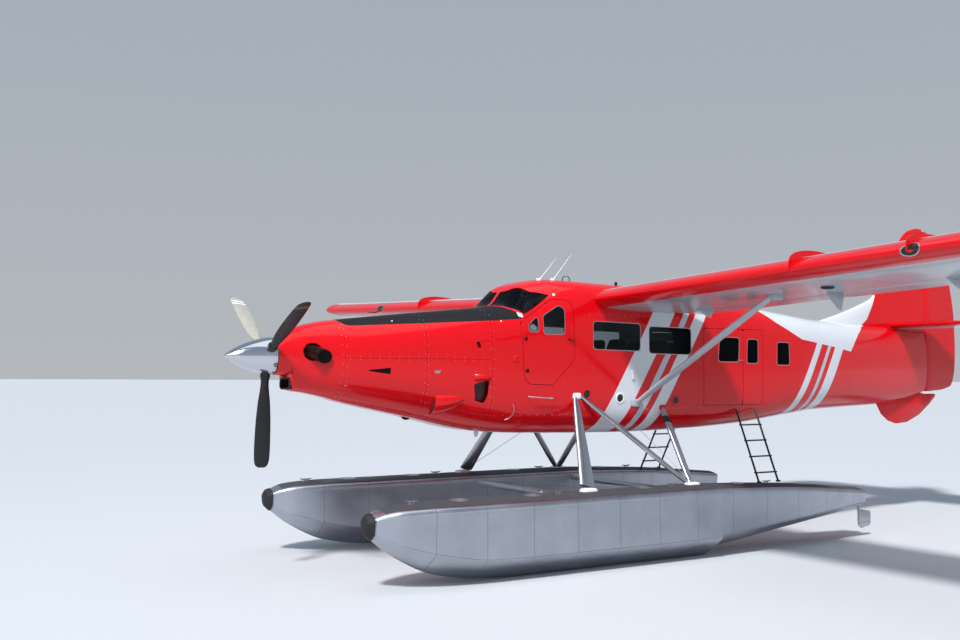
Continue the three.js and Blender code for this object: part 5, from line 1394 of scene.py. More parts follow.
front = strut_skin(np.linspace(FRONT_TOP, FRONT_FOOT, 15)[:-1], FRONT_CHORDS, 62, 0.5)
bands = [strut_skin([FRONT_TOP + front_run * s, FRONT_TOP + front_run * (s + 0.006)], 112 + 125 * s, 66, 0.5)
         for s in np.linspace(0.2, 0.88, 14)]
rear = strut_skin(np.linspace(REAR_TOP, REAR_FOOT, 9), REAR_CHORDS, 60, 0.5)
diagonal = strut_skin(np.linspace(DIAGONAL_TOP, REAR_FOOT, 9), DIAGONAL_CHORDS, 48, 0.5)
pair("float_strut_fairings", joined(front, *bands, rear, diagonal), strut_metal, stands_for="float_struts")
ends = [pebble(FRONT_FOOT + (0, 0, 14), (250, 130, 120), 0.5),
        pebble(REAR_FOOT + (0, 0, 10), (230, 130, 105), 0.5),
        pebble(FRONT_TOP + (10, -14, 10), (150, 50, 90), 0.5)]
pair("strut_feet", joined(*ends), white_enamel)
pair("rear_strut_top", pebble(REAR_TOP + (0, -12, 4), (140, 50, 80), 0.5), red_enamel)
wrap = strut_skin([REAR_TOP + rear_run * 0.12, REAR_TOP + rear_run * 0.2], 124, 66, 0.5)
pair("rear_strut_wrap", wrap, black_rubber)

SPREADER_Z = -1835.0
for name, x in (("front", FRONT_FOOT[0]), ("rear", REAR_FOOT[0])):
    ys = np.concatenate([[-1240, -1215, -1180], np.linspace(-1100, 1100, 9), [1180, 1215, 1240]])
    sizes = [96, 96, 84] + [84] * 9 + [84, 96, 96]
    tube = bar(np.stack([np.full(len(ys), x), ys, np.full(len(ys), SPREADER_Z)], 1), sizes, sizes, 20)
    mesh_piece(f"{name}_spreader_tube", tube, strut_metal, stands_for=[f"{name}_spreader_bar"])
sizes = [86, 104, 104, 86]
sleeve = bar([(FRONT_FOOT[0], y, SPREADER_Z) for y in (-560, -555, -100, -95)], sizes, sizes, 20)
mesh_piece("spreader_sleeve", sleeve, bare_aluminium)


def wire(a, b, size=7):
    """A taut brace wire between two fittings, with a turnbuckle thicker than the wire near one end."""
    a, b = np.asarray(a, float), np.asarray(b, float)
    share = np.array([0, 0.06, 0.065, 0.12, 0.125, 1.0])
    width = np.array([size, size, size * 2.4, size * 2.4, size, size])
    return bar(a + (b - a) * share[:, None], width, width, 8)


wires = []
for side in (-1, 1):
    wires.append(wire(FRONT_FOOT * (1, side * -1, 1) + (40, 0, 70), (4330, side * 560, -985)))
    wires.append(wire(REAR_FOOT * (1, side * -1, 1) + (-30, 0, 70), (5480, side * 560, -1000)))
    wires.append(wire((3790, side * 1230, -1800), (5540, side * -1230, -1800)))
mesh_piece("brace_wires", joined(*wires), bare_aluminium)
print("wires", len(wires))

# %% [markdown]
# ## Water rudders and ladders
# Each water rudder is a ribbed plate on a post that turns with its own body. A ladder of two tubes and
# four rungs runs from the cabin doorway down to the float on each side.

# %% Water rudders and ladders
WATER_RUDDER = [(8979, -2500), (9045, -2560), (9265, -2520), (9265, -2310), (8979, -2260)]
rudder_blade = slab(WATER_RUDDER, -FLOAT_Y, 9, 4, 50)
rudder_post = bar([(9000, -FLOAT_Y, z) for z in (-2440, -2300, -2100, -1990)], 40, 40, 16, fore=(0, 1, 0))
rudder_ribs = [bar([(8985, -FLOAT_Y + dy, z), (9240, -FLOAT_Y + dy, z + 10)], 14, 8, 8, fore=(0, 0, 1))
               for z in (-2480, -2400, -2320) for dy in (-10, 10)]
pair("water_rudder_blade", joined(rudder_blade, rudder_post, *rudder_ribs), bare_aluminium,
     ("left_water_rudder", "right_water_rudder"), "water_rudder")
stern_plates = [pebble((8925, -FLOAT_Y, -1964), (130, 90, 20), 0.25, 6),
                pebble((8905, -FLOAT_Y, -2100), (110, 84, 22), 0.25, 6)]
pair("stern_brackets", joined(*stern_plates), bare_aluminium)

LADDER_TOP, LADDER_FOOT, LADDER_WIDTH = np.array([7190, -800, -735]), np.array([7110, -1330, -1790]), 400
side_tubes = [bar(np.linspace(LADDER_TOP, LADDER_FOOT, 6) + (dx, 0, 0), 30, 30, 14, fore=(1, 0, 0))
              for dx in (0, LADDER_WIDTH)]
rungs = []
for share in np.arange(1, 5) / 4.6:
    at = LADDER_TOP + (LADDER_FOOT - LADDER_TOP) * share
    across = [at + (dx, 0, 0) for dx in (-12, 0, LADDER_WIDTH / 2, LADDER_WIDTH, LADDER_WIDTH + 12)]
    rungs.append(bar(across, 58, 22, 12, fore=(0, 1, 0), squared=0.6))
ladder_feet = [pebble(LADDER_FOOT + (dx, 0, 8), (60, 60, 26), 0.5, 6) for dx in (0, LADDER_WIDTH)]
pair("boarding_ladder_frame", joined(*side_tubes, *rungs, *ladder_feet), black_epoxy,
     stands_for="boarding_ladder", slot="ladder_paint")
print("rungs", len(rungs))

# %% [markdown]
# ## Propeller and spinner
# The spinner is a polished shell: its radius falls along a soft curve to a blunt point. Each blade is a
# loft of thin sections that widen and untwist outward from a round root in a black sleeve. The blades are
# black, and their colours differ for light: one is plain black, one is black with an olive band near its
# tip, which is the tip stripe in painted shade, and one is pale grey as a painted highlight of sun, with
# two white stripes, on the face that shows and black on the other. A face attribute tells the paints
# apart, and the distance along the blade places the stripes.

# %% Propeller
BLADE = np.array([  # radius, chord, thickness, pitch in degrees from the disc
    (165, 100, 100, 100), (330, 100, 96, 100), (430, 128, 60, 99), (600, 170, 40, 95), (850, 196, 28, 90),
    (1100, 202, 21, 85), (1270, 192, 16, 82), (1350, 156, 11, 81), (1381, 84, 7, 80)], float)
BLADE_ANGLES = np.radians([175.4, 55.4, -64.6])
SPINNER_BACK, SPINNER_TIP = 80, -532
STRIPES_AT = (1.285, 1.225)  # metres from the axis


def turned_about_x(part, angle):
    """A part turned about the propeller's axis."""
    c, s = np.cos(angle), np.sin(angle)
    points = part[0] @ np.array([[1, 0, 0], [0, c, -s], [0, s, c]])
    return points, part[1]


def blade_part():
    """Sections of a lens: half chord cos t along, half thickness sin t across, turned by the pitch."""
    rows = fine_rows(BLADE, 40)
    u = 2 * np.pi * (np.arange(30) + 0.5) / 30
    pitch = np.radians(rows[:, 3])[:, None]
    round_root = np.clip((rows[:, 2] / rows[:, 1] - 0.2) / 0.6, 0, 1)[:, None]
    across_shape = np.sin(u) * (np.abs(np.sin(u)) ** 0.35 * (1 - round_root) + round_root)
    along, across = rows[:, 1:2] / 2 * np.cos(u), rows[:, 2:3] / 2 * across_shape
    rings = np.stack([along * np.sin(pitch) + across * np.cos(pitch),
                      along * np.cos(pitch) - across * np.sin(pitch),
                      np.repeat(rows[:, :1], 30, 1)], -1)
    face = np.broadcast_to(np.sin(u), (40, 30)).ravel()
    reach = np.repeat(rows[:, 0], 30)
    return lofted(rings), {"blade_face": face, "blade_reach": reach / 1000}


def blade_enamel():
    """Epoxy paint told apart by attributes, so that it turns with the blade. The face attribute is below
    0 where the blade is pale grey, a painted highlight of sun on the black blade, with two white stripes near
    its tip, above 0 where it is black, and above 1 where the black also carries an olive stripe, the white
    tip stripe in painted shade."""
    material, tree, place = finish("propeller_epoxy_paint")
    face = add_node(tree, "Attribute", attribute_name="blade_face").outputs["Fac"]
    reach = add_node(tree, "Attribute", attribute_name="blade_reach").outputs["Fac"]
    aft = add_node(tree, "Math", {0: face, 1: 0.0}, operation="GREATER_THAN")
    grit = add_node(tree, "TexNoise", {"Vector": place, "Scale": 14.0, "Detail": 5.0})
    # pale is a painted highlight: the grey-beige that a sunlit black blade shows
    pale, dark = (add_node(tree, "Mix", {"Factor": grit, "A": colour(low), "B": colour(high)},
                           data_type="RGBA")
                  for low, high in (("#96948a", "#b3b1a6"), ("#08080a", "#161619")))
    tone = add_node(tree, "Mix", {"Factor": aft, "A": pale, "B": dark}, data_type="RGBA")
    for middle in STRIPES_AT:
        stripe = add_node(tree, "Math", {0: reach, 1: middle, 2: 0.014}, operation="COMPARE")
        front = add_node(tree, "Math", {0: stripe, 1: aft}, operation="SUBTRACT")
        tone = add_node(tree, "Mix", {"Factor": front, "A": tone, "B": colour("#e8e8e4")},
                        data_type="RGBA", clamp_factor=True)
    # painted shade: the olive band is the white tip stripe as it looks in shade
    striped = add_node(tree, "Math", {0: face, 1: 1.5}, operation="GREATER_THAN")
    shaded_tip_stripe = add_node(tree, "Math", {0: reach, 1: 1.26, 2: 0.03}, operation="COMPARE")  # metres
    olive = add_node(tree, "Math", {0: shaded_tip_stripe, 1: striped}, operation="MULTIPLY")
    tone = add_node(tree, "Mix", {"Factor": olive, "A": tone, "B": colour("#4a4d42")},
                    data_type="RGBA")
    dull = add_node(tree, "MapRange", {"Value": grit, "To Min": 0.3, "To Max": 0.5})
    shader = add_node(tree, "BsdfPrincipled", {"Base Color": tone, "Roughness": dull})
    add_node(tree, "OutputMaterial", {"Surface": shader})
    return material


propeller_paint = blade_enamel()  # dusty, with a weak shine along the blades
blade, blade_fields = blade_part()
face = blade_fields["blade_face"]
# the pale face is a painted highlight, and the band is the tip stripe in painted shade
blade_faces = [np.ones(len(face)), -face, np.full(len(face), 2.0)]  # black, pale ahead, black with a band
ferrule_sizes = [118, 118, 126, 126, 112, 104]
ferrule = bar([(0, 0, r) for r in (190, 235, 240, 262, 267, 300)], ferrule_sizes, ferrule_sizes, 28)
for i, (angle, marks) in enumerate(zip(BLADE_ANGLES, blade_faces)):
    mesh_piece(f"blade_{i + 1}", turned_about_x(blade, angle), propeller_paint, "propeller",
               [f"propeller_blade_{i + 1}"], fields={**blade_fields, "blade_face": marks})
    mesh_piece(f"blade_sleeve_{i + 1}", turned_about_x(ferrule, angle), black_epoxy, "propeller",
               slot="blade_paint")

radius = 232 * np.clip(1 - np.linspace(0, 1, 34) ** 1.6, 0, None) ** 0.85
stations = SPINNER_BACK - 25 + (SPINNER_TIP - SPINNER_BACK + 25) * np.linspace(0, 1, 34)
stations = np.concatenate([SPINNER_BACK - np.array([0, 0, 8, 24, 25]), stations[1:]])
radius = np.concatenate([[150, 224, 231, 232, 229], radius[1:]])
around = 2 * np.pi * np.arange(72) / 72
shell = np.stack([np.repeat(stations[:, None], 72, 1), radius[:, None] * np.cos(around),
                  radius[:, None] * np.sin(around)], -1)
mesh_piece("spinner_shell", lofted(shell), polished_aluminium, "propeller", ["spinner"],
           slot="polished_aluminium")
print("spinner length", SPINNER_BACK - SPINNER_TIP)

# %% [markdown]
# ## Nose lip, chin inlet and exhaust
# The nose ends in a rolled lip behind the spinner. The chin inlet is a duct coloured near-black as painted
# shade, with a rubber lip, and on each side a short stub turns the exhaust aft, stained by heat outside and
# black inside, where the black is soot and painted shade together.

# %% Nose lip, chin inlet and exhaust
def section_ring(x, at_x, scale):
    """A whole section of the fuselage, drawn in by a scale and put at another station."""
    half = hull_surface(np.full(37, float(x)), np.linspace(-90, 90, 37))[:, 1:]
    ring = np.concatenate([half, half[-2:0:-1] * (-1, 1)]) * scale
    return np.c_[np.full(len(ring), float(at_x)), ring]


lip = lofted([section_ring(NOSE_FACE, at, scale) for at, scale in
              ((104, 0.985), (96, 0.999), (91, 0.99), (89, 0.97), (91, 0.93), (100, 0.62))])
mesh_piece("nose_lip", lip, red_enamel)


def loop_tube(loop, x, radius, around=12):
    """A closed tube round an outline at a station: radius . cos a outward and radius . sin a aft of it."""
    a = 2 * np.pi * np.arange(around) / around
    out = unit(outset(loop, 1.0) - loop)
    ring = loop[:, None] + out[:, None] * (radius * np.cos(a))[:, None]
    stations = np.broadcast_to(x + radius * np.sin(a), ring.shape[:2])[..., None]
    points = np.concatenate([stations, ring], -1).reshape(-1, 3)
    quads = grid_faces(len(loop) + 1, around, True) % len(points)
    return points, outward(points, [quads])


def mouth(x, grow):
    """The chin inlet's outline at a station, moved out by grow."""
    return np.c_[np.full(len(CHIN_MOUTH), float(x)), outset(CHIN_MOUTH, grow)]


duct = lofted([mouth(470, -22), mouth(300, -12), mouth(256, -4), mouth(256, 8), mouth(490, -10)])
# painted shade: the duct is near-black for the shade inside the inlet
mesh_piece("chin_inlet_duct", duct, painted_shade_black, slot="engine_castings")
mesh_piece("chin_inlet_lip", loop_tube(CHIN_MOUTH, 254, 13), black_rubber)

STUB_FROM, STUB_TO = np.array([400, -140, 66.0]), np.array([582, -462, -6.0])
MOUTH_NORMAL = unit(np.array([0.12, -0.97, -0.22]))


def stub_rings(shares, radii, oblong=0.9):
    """Rings across the stub, whose middle is a parabola. Towards its mouth each ring leans, by the cube of
    its share of the length, until the mouth lies nearly flat with the cowl's side."""
    t = np.asarray(shares, float)[:, None]
    bend = np.array([470, -320, 66.0])
    middle = (1 - t) ** 2 * STUB_FROM + 2 * t * (1 - t) * bend + t * t * STUB_TO
    along = unit(2 * (1 - t) * (bend - STUB_FROM) + 2 * t * (STUB_TO - bend))
    side = unit(np.cross(along, (0, 0, 1.0)))
    u = 2 * np.pi * np.arange(40) / 40
    spoke = np.cos(u)[:, None] * side[:, None] + np.sin(u)[:, None] * np.cross(side, along)[:, None] * oblong
    spoke = spoke * np.asarray(radii, float)[:, None, None]
    lean = -(spoke @ MOUTH_NORMAL) / (along @ MOUTH_NORMAL)[:, None] * t ** 3
    return middle[:, None] + spoke + lean[..., None] * along[:, None]


out, back = np.linspace(0, 1, 14), np.linspace(1, 0.1, 12)
pipe = lofted(np.concatenate([stub_rings(out, np.full(14, 95.0)), stub_rings(back, np.full(12, 87.0))]))
liner = lofted(np.concatenate([stub_rings(back + 0.004, np.full(12, 86.4)),
                               stub_rings(back[::-1] + 0.004, np.full(12, 83.0))]))


def heat_stained(name):
    """Stainless sheet stained by heat: a noise runs between two dark browns and dulls it in patches."""
    material, tree, place = finish(name)
    soot = add_node(tree, "TexNoise", {"Vector": place, "Scale": 7.0, "Detail": 6.0})
    ramp = add_node(tree, "ValToRGB", {"Fac": soot})
    for stop, position, stain in zip(ramp.color_ramp.elements, (0.3, 0.7), ("#1a0f0e", "#4a2c27")):
        stop.position, stop.color = position, colour(stain)
    dull = add_node(tree, "MapRange", {"Value": soot, "To Min": 0.22, "To Max": 0.5})
    shader = add_node(tree, "BsdfPrincipled", {"Base Color": ramp, "Metallic": 1.0,
                                                         "Roughness": dull})
    add_node(tree, "OutputMaterial", {"Surface": shader})
    return material


exhaust_metal = heat_stained("heat_stained_steel")  # dark and uneven, with a metal's shine
pair("exhaust_pipe", pipe, exhaust_metal, stands_for="exhaust_stub")
shroud_loop = circle_loop(EXHAUST_HOLE["x"], EXHAUST_HOLE["z"], EXHAUST_HOLE["radius"] + 26)
shroud = thickened(skin_sheet(shroud_loop, step=60), 4, -46)
# painted shade: the disc behind the exhaust hole is near-black for the shade inside the cowl, and the stub's
# near-black liner is painted shade over its soot
pair("exhaust_shroud", shroud, painted_shade_black, slot="engine_castings")
pair("exhaust_inner", liner, painted_shade_black, slot="exhaust_steel")
print("exhaust at", STUB_TO)

# %% [markdown]
# ## Inside the cabin
# The windows are clear, so what lies behind them counts. A moulded lining follows the skin with the same
# cut-outs, and the parts of the frame that show through the glass get finishes of their own.

# %% Cabin lining and kept parts
lining_loop = strip_loop(FIREWALL_X + 40, TAIL_SEAM - 40, gap=1)
linings = [skin_sheet(lining_loop, [*common, side_loop(outset(doorway, DOOR_GAP), DOOR_RADIUS)], 110)
           for doorway in (LEFT_DOORWAY, RIGHT_DOORWAY)]
LINING_THICK, LINING_DEPTH = 6, 24
mesh_piece("cabin_lining", thickened(both_sides(*linings), LINING_THICK, -LINING_DEPTH), cabin_plastic)

# grainy and half bright, as metal left rough from its mould
cast_alloy = plain("cast_engine_alloy", "#5c5f63", 12.0, 0.2, Metallic=0.8, Roughness=0.55)
# plain bright sheet with a blurred reflection
bulkhead_steel = plain("stainless_bulkhead_sheet", "#9aa0a6", 5.0, 0.05, 0.1, Metallic=1.0, Roughness=0.4)
# dark, rough and without any shine
floor_carpet = plain("ribbed_floor_carpet", "#34373c", 80.0, 0.6, Roughness=0.95)
# black that never mirrors the windshield
crinkle_black = plain("black_crinkle_paint", "#1b1c1f", 90.0, 0.4, Roughness=0.75)
for node, material in (("engine_block", cast_alloy), ("firewall", bulkhead_steel),
                       ("cabin_floor", floor_carpet), ("instrument_panel", crinkle_black)):
    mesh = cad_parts[node].data
    mesh.materials.clear()
    mesh.materials.append(material)
print("lining triangles", 2 * sum(len(sheet[2]) for sheet in linings))

# %% [markdown]
# ## Dials and control yokes
# Dials are discs and rings about a fore and aft line, set in rows on the panel. A yoke is a column and a
# horned wheel, both of them bars.

# %% Dials and control yokes
PANEL_FACE = 3331


def turned_disc(middle, profile, around=24):
    """Rings about a fore and aft line: at distance d aft of the middle, radius r."""
    a = 2 * np.pi * np.arange(around) / around
    ring = np.stack([np.zeros(around), np.cos(a), np.sin(a)], 1)
    return lofted([ring * r + middle + (d, 0, 0) for d, r in profile])


dial_places = [(PANEL_FACE, side * (250 + 115 * i), z) for side in (-1, 1) for i in range(3)
               for z in (215, 330)]
dial_places += [(PANEL_FACE, y, z) for y in (-110, 0, 110) for z in (120, 225, 330)]
BEZEL, DIAL_FACE = ((-2, 44), (6, 44), (8, 41), (8, 36), (3, 35)), ((-1, 34), (4.5, 34), (4.5, 3))
for name, profile, material, slot in (("dial_bezels", BEZEL, bare_aluminium, "bare_aluminium"),
                                      ("dial_faces", DIAL_FACE, black_epoxy, "interior_plastic")):
    mesh_piece(name, joined(*[turned_disc(place, profile) for place in dial_places]), material, slot=slot)
YOKE_HORNS = np.array([(20, -150, 150), (28, -150, 80), (30, -110, 20), (30, 0, 0), (30, 110, 20),
                       (28, 150, 80), (20, 150, 150)])
yokes = []
for y in (-360, 360):
    yokes.append(bar([(PANEL_FACE, y, 60), (PANEL_FACE + 240, y, 70)], 34, 34))
    yokes.append(bar(YOKE_HORNS + (PANEL_FACE + 215, y, 70), 26, 34))
mesh_piece("control_yokes", joined(*yokes), crinkle_black, slot="interior_plastic")
print("dials", len(dial_places))

# %% [markdown]
# ## Seats
# Eleven seats stand on two rails. Each has a stuffed leather cushion and back: closed forms that crown in
# the middle and draw in along their sides between the corners, with two sewn channels down each and a
# cross seam below the head. They are padded pieces of their own on a light tube frame.

# %% Seat pads and frames
SEAT = {"width": 440, "depth": 430, "top": -250, "floor": -625}
SEAT_PLACES = [(3700, -360), (3700, 360)] + [(x, y) for x in (4640, 5420, 6200) for y in (-500, 0, 500)]


def stuffed(length, width, thick, pull=0.07, crown=24, channels=(), cross=None):
    """A pad about its own middle: a superellipsoid whose length shrinks by pull (1 - (y / b)^2) and whose
    width by pull (1 - (x / a)^2), with crown (1 - (x / a)^2) (1 - (y / b)^2) added above and seams cut by
    depth exp(-(distance / 9)^2)."""
    u, v = 2 * np.pi * (np.arange(72) + 0.5) / 72, np.linspace(-0.96, 0.96, 22) * np.pi / 2
    soft = [np.sign(f) * np.abs(f) ** power for f, power in
            ((np.cos(u), 0.42), (np.sin(u), 0.42), (np.cos(v), 0.5), (np.sin(v), 0.8))]
    fine = np.linspace(0.9, 0.05, 16)
    reach = np.concatenate([fine[::-1] * soft[2][0], soft[2], fine * soft[2][-1]])
    lift = np.concatenate([np.full(16, soft[3][0]), soft[3], np.full(16, soft[3][-1])])
    p, q = reach[:, None] * soft[0], reach[:, None] * soft[1]
    x = length / 2 * p * (1 - pull * (1 - q * q))
    y = width / 2 * q * (1 - pull * (1 - p * p))
    above = np.clip(lift, 0, 1)[:, None]
    z = thick / 2 * lift[:, None] + above * crown * (1 - p * p) * (1 - q * q)
    for place in channels:
        z = z - above * 9 * np.exp(-((y - place) / 9) ** 2)
    if cross is not None:
        z = z - above * 11 * np.exp(-((x - cross) / 9) ** 2)
    return lofted(np.stack([x, y, z], -1))


def laid(part, middle, lean):
    """A pad turned about the y axis until its length leans by an angle from level, then put in place."""
    c, s = np.cos(np.radians(lean)), np.sin(np.radians(lean))
    return part[0] @ np.array([[c, 0, s], [0, 1, 0], [-s, 0, c]]) + middle, part[1]


def leather(name, hex_value):
    """Leather whose tone goes lighter and darker in patches from a noise. The grain is about 2 mm, too fine to
    show, and is drawn 8 mm coarse."""
    material, tree, place = finish(name)
    grain = add_node(tree, "TexVoronoi", {"Vector": place, "Scale": 125.0})
    tone = mottled(tree, place, hex_value, 0.75, 1.3, 6.0)[1]
    bump = add_node(tree, "Bump", {"Height": grain.outputs["Distance"], "Strength": 0.3,
                                             "Distance": 0.003})
    shader = add_node(tree, "BsdfPrincipled", {"Base Color": tone, "Roughness": 0.48,
                                                         "Normal": bump})
    add_node(tree, "OutputMaterial", {"Surface": shader})
    return material


seat_leather = leather("charcoal_seat_leather", "#3a3c41")  # a soft shine that breaks up over the grain
PAD_THICK, BACK_LENGTH, BACK_LEAN, CHANNELS = 84, 560, 80, (-110, 110)
cushion = stuffed(SEAT["depth"] - 20, SEAT["width"], PAD_THICK, channels=CHANNELS)
backrest = stuffed(BACK_LENGTH, SEAT["width"], PAD_THICK, channels=CHANNELS, cross=150)
frames = []
for i, (x, y) in enumerate(SEAT_PLACES):
    back_x = x + SEAT["depth"]
    pads = joined(laid(cushion, (x + 212, y, SEAT["top"] - 62), 0),
                  laid(backrest, (back_x + 32, y, 38), BACK_LEAN))
    mesh_piece(f"seat_{i + 1}_pads", pads, seat_leather)
    for dy in (-150, 150):
        for low_x, high_x in ((x + 140, x + 100), (back_x - 80, back_x - 60)):
            frames.append(bar([(low_x, y + dy, SEAT["floor"] + 12), (high_x, y + dy, -352)], 30, 30, 12))
    frames.append(pebble((x + 215, y, -356), (380, 400, 16), 0.25, 6))
for y in (-430, 430):
    frames.append(bar([(3840, y, -617), (6620, y, -617)], 56, 12, 8, fore=(0, 1, 0), squared=0.4))
mesh_piece("seat_frames", joined(*frames), bare_aluminium, stands_for=["seats"])
print("seats", len(SEAT_PLACES))

# %% [markdown]
# ## Small fittings on the skin
# A point on the skin and its outward direction are enough to stand a cap, a hinge or a mast on it. Discs
# are rings about that direction, hoods are lofts that leave the skin and come back to it, and fastener
# heads, repeated by the hundred, are low six-sided domes.

# %% Skin helpers
def on_skin(x, z, proud=0.0):
    """A point on the port skin, and its outward direction, at a station and height."""
    phi = hull_angle(x, z)
    normal = hull_normal(x, phi)
    return hull_surface(x, phi) + normal * proud, normal


def cap(x, z, profile, around=28):
    """Rings about the skin's normal: radius r at a height h above the skin."""
    point, normal = on_skin(x, z)
    aft = unit(np.array([1.0, 0, 0]) - normal * normal[0])
    a = 2 * np.pi * np.arange(around) / around
    spoke = np.cos(a)[:, None] * aft + np.sin(a)[:, None] * np.cross(aft, normal)
    return lofted([point + normal * h + spoke * r for r, h in profile])


def hood(rows, points=17):
    """A hood's closed loft. Each row gives a station, its low and high edge and how proud it stands there:
    proud sin(pi s) ** 0.6 between the edges, over a base 8 mm under the skin."""
    rings = []
    for x, low, high, proud in rows:
        z = np.linspace(low, high, points)
        out, normal = on_skin(np.full(points, float(x)), z)
        rise = proud * np.sin(np.pi * np.linspace(0, 1, points)) ** 0.6
        rings.append(np.concatenate([out + normal * rise[:, None], (out - normal * 8)[::-1]]))
    return lofted(rings)


def rod(places, size, **more):
    """A bar through points given as station, height and how far it stands off the skin."""
    return bar([on_skin(x, z, off)[0] for x, z, off in places], size, size, 10, **more)


def studs(points, normals, radius=6.5, rise=2.5):
    """Fastener heads: for each, a hexagon under the skin and a smaller one above it, joined by quads."""
    points, normals = np.asarray(points, float), np.asarray(normals, float)
    aft = unit(np.array([1.0, 0, 0]) - normals * normals[:, :1])
    a = 2 * np.pi * np.arange(6) / 6
    spoke = np.cos(a)[:, None] * aft[:, None] + np.sin(a)[:, None] * np.cross(aft, normals)[:, None]
    low = points[:, None] - normals[:, None] * 2 + spoke * radius
    high = points[:, None] + normals[:, None] * rise + spoke * radius * 0.6
    start = np.arange(len(points))[:, None] * 12
    i = np.arange(6)
    quads = (start[..., None] + np.stack([i, (i + 1) % 6, (i + 1) % 6 + 6, i + 6], -1)).reshape(-1, 4)
    caps = np.concatenate([start + i[::-1], start + i + 6])
    return np.concatenate([low, high], 1).reshape(-1, 3), [quads, caps]


print("a point of the skin", on_skin(3171, -13)[0].round())

# %% [markdown]
# ## Fasteners
# Rows of heads follow the panel seams, at equal steps measured along the skin.

# %% Fasteners along the seams
STUD_STEP = 125


def seam_studs(x, low=-85, high=88):
    """Fasteners up a seam at a station, equal steps of girth apart."""
    phi = np.linspace(low, high, 400)
    line = hull_surface(np.full(400, float(x)), phi)
    way = np.concatenate([[0], np.cumsum(np.linalg.norm(np.diff(line, axis=0), axis=1))])
    at = np.interp(np.arange(40, way[-1], STUD_STEP), way, phi)
    return hull_surface(np.full(len(at), float(x)), at), hull_normal(np.full(len(at), float(x)), at)


def row_studs(x0, x1, z):
    """Fasteners along the skin at a height, equal steps of station apart."""
    xs = np.arange(x0, x1, STUD_STEP)
    return on_skin(xs, np.full(len(xs), float(z)))


rows = [seam_studs(x) for x in (NOSE_SEAM + 22, NOSE_SEAM - 22, MID_SEAM - 22, MID_SEAM + 22,
                                FIREWALL_X - 24, FIREWALL_X + 26)]
rows += [row_studs(NOSE_SEAM + 60, FIREWALL_X - 60, COWL_SPLIT + dz) for dz in (-20, 20)]
rows += [row_studs(4380, 6500, 620), row_studs(4300, 6440, -700), row_studs(2900, 4200, -760)]
fasteners = studs(np.concatenate([r[0] for r in rows]), np.concatenate([r[1] for r in rows]))
pair("fastener_heads", fasteners, bare_aluminium)
print("fasteners", sum(len(r[0]) for r in rows))

# %% [markdown]
# ## Hoods, outlets and drains
# A hood's table gives its stations from front to back, with its low and high edge and its rise at each.
# Drains and the entry step are rods that stand off the skin.

# %% Hoods, outlets and drains
HOODS = [  # name, rows of station, low edge, high edge and rise, material, slot
    ("cowl_outlet_hood", [(2060, -735, -500, 62), (2090, -740, -492, 70), (2180, -722, -492, 66),
                          (2290, -680, -498, 48), (2380, -620, -508, 26), (2440, -560, -522, 6)],
     red_enamel, "red_paint"),
    # painted shade: the outlet's mouth is a near-black plate that stands for the shade inside the hood
    ("cowl_outlet_mouth", [(2054, -722, -512, 52), (2062, -722, -512, 54)], painted_shade_black, "engine_castings"),
    ("side_hood", [(2570, -300, -208, 10), (2600, -306, -206, 40), (2690, -306, -212, 52),
                   (2760, -300, -232, 40), (2800, -290, -250, 6)], red_enamel, "red_paint"),
    ("belly_bulge", [(1880, -842, -806, 4), (1920, -846, -800, 26), (1960, -852, -804, 26),
                     (2010, -862, -815, 4)], red_enamel, "red_paint"),
]
for name, rows_of_hood, material, slot in HOODS:
    pair(name, hood(rows_of_hood), material, slot=slot)
mast = slab([(2815, -960), (2905, -960), (2885, -1050), (2855, -1062), (2835, -1045)], -300, 7, 4, 10)
mesh_piece("drain_mast", mast, white_enamel)
drain = rod([(3132, -608, 2), (3150, -640, 12), (3162, -700, 14), (3150, -750, 14), (3110, -795, 12),
             (3060, -815, 8)], 9)
mesh_piece("overboard_drain", drain, bare_aluminium)
step = rod([(3365, -510, 0), (3372, -511, 48), (3400, -512, 62), (3550, -522, 64), (3700, -532, 62),
            (3726, -533, 48), (3732, -533, 0)], 15)
pair("entry_step", step, grey_enamel)
print("hoods in place")

# %% [markdown]
# ## Latches, hinges, caps and ports
# Round fittings are a profile of radius and height turned about the skin's normal. What sits on a door
# rides on that door's body, so it swings with it.

# %% Latches, hinges, caps and ports
LATCH = [(2010, -172), (2100, -172), (2082, -208), (2028, -208)]
pair("cowl_latch", thickened(skin_sheet(side_loop(LATCH, 8, 20), step=60), 8, 6), bare_aluminium)
ROUND_CAP = [(46, -4), (46, 5), (40, 12), (22, 14), (20, 9), (4, 9)]
pair("filler_cap", cap(3171, -13, ROUND_CAP), red_enamel)
HINGE_KNOB = [(26, -4), (26, 10), (18, 18), (6, 18)]
hinges = joined(*[cap(x, z, HINGE_KNOB, 16) for x, z in ((3322, 262), (3340, -163))])
pair("crew_door_hinges", hinges, exhaust_metal)
crew_doors = ("left_crew_door", "right_crew_door")
handle = rod([(4010, 262, 4), (4016, 262, 26), (4060, 250, 28), (4100, 238, 26)], 20)
pair("crew_door_handle", handle, black_epoxy, crew_doors, slot="bumper_rubber")
vent = cap(3450, 415, [(44, -2), (44, 5), (36, 7), (34, 3), (6, 3)])
pair("quarter_window_vent", vent, bare_aluminium, crew_doors)
PORTS = [  # name, station, height, the ring's material and slot
    ("forward_port", 4327, -484, red_enamel, "red_paint"),
    ("middle_port", 4914, -544, white_enamel, "trim_white"),
    ("aft_port", 5951, -580, red_enamel, "red_paint"),
]
for name, x, z, material, slot in PORTS:
    ring = cap(x, z, [(80, -4), (80, 4), (74, 8), (58, 8), (54, 2), (54, -3)])
    pair(f"{name}_ring", ring, material, slot=slot)
    # painted shade: each port's glass is an opaque near-black disc that stands for the shaded cabin seen through it
    pair(f"{name}_glass", cap(x, z, [(53, -4), (53, 2.5), (3, 2.5)]), black_epoxy, slot="glazing")
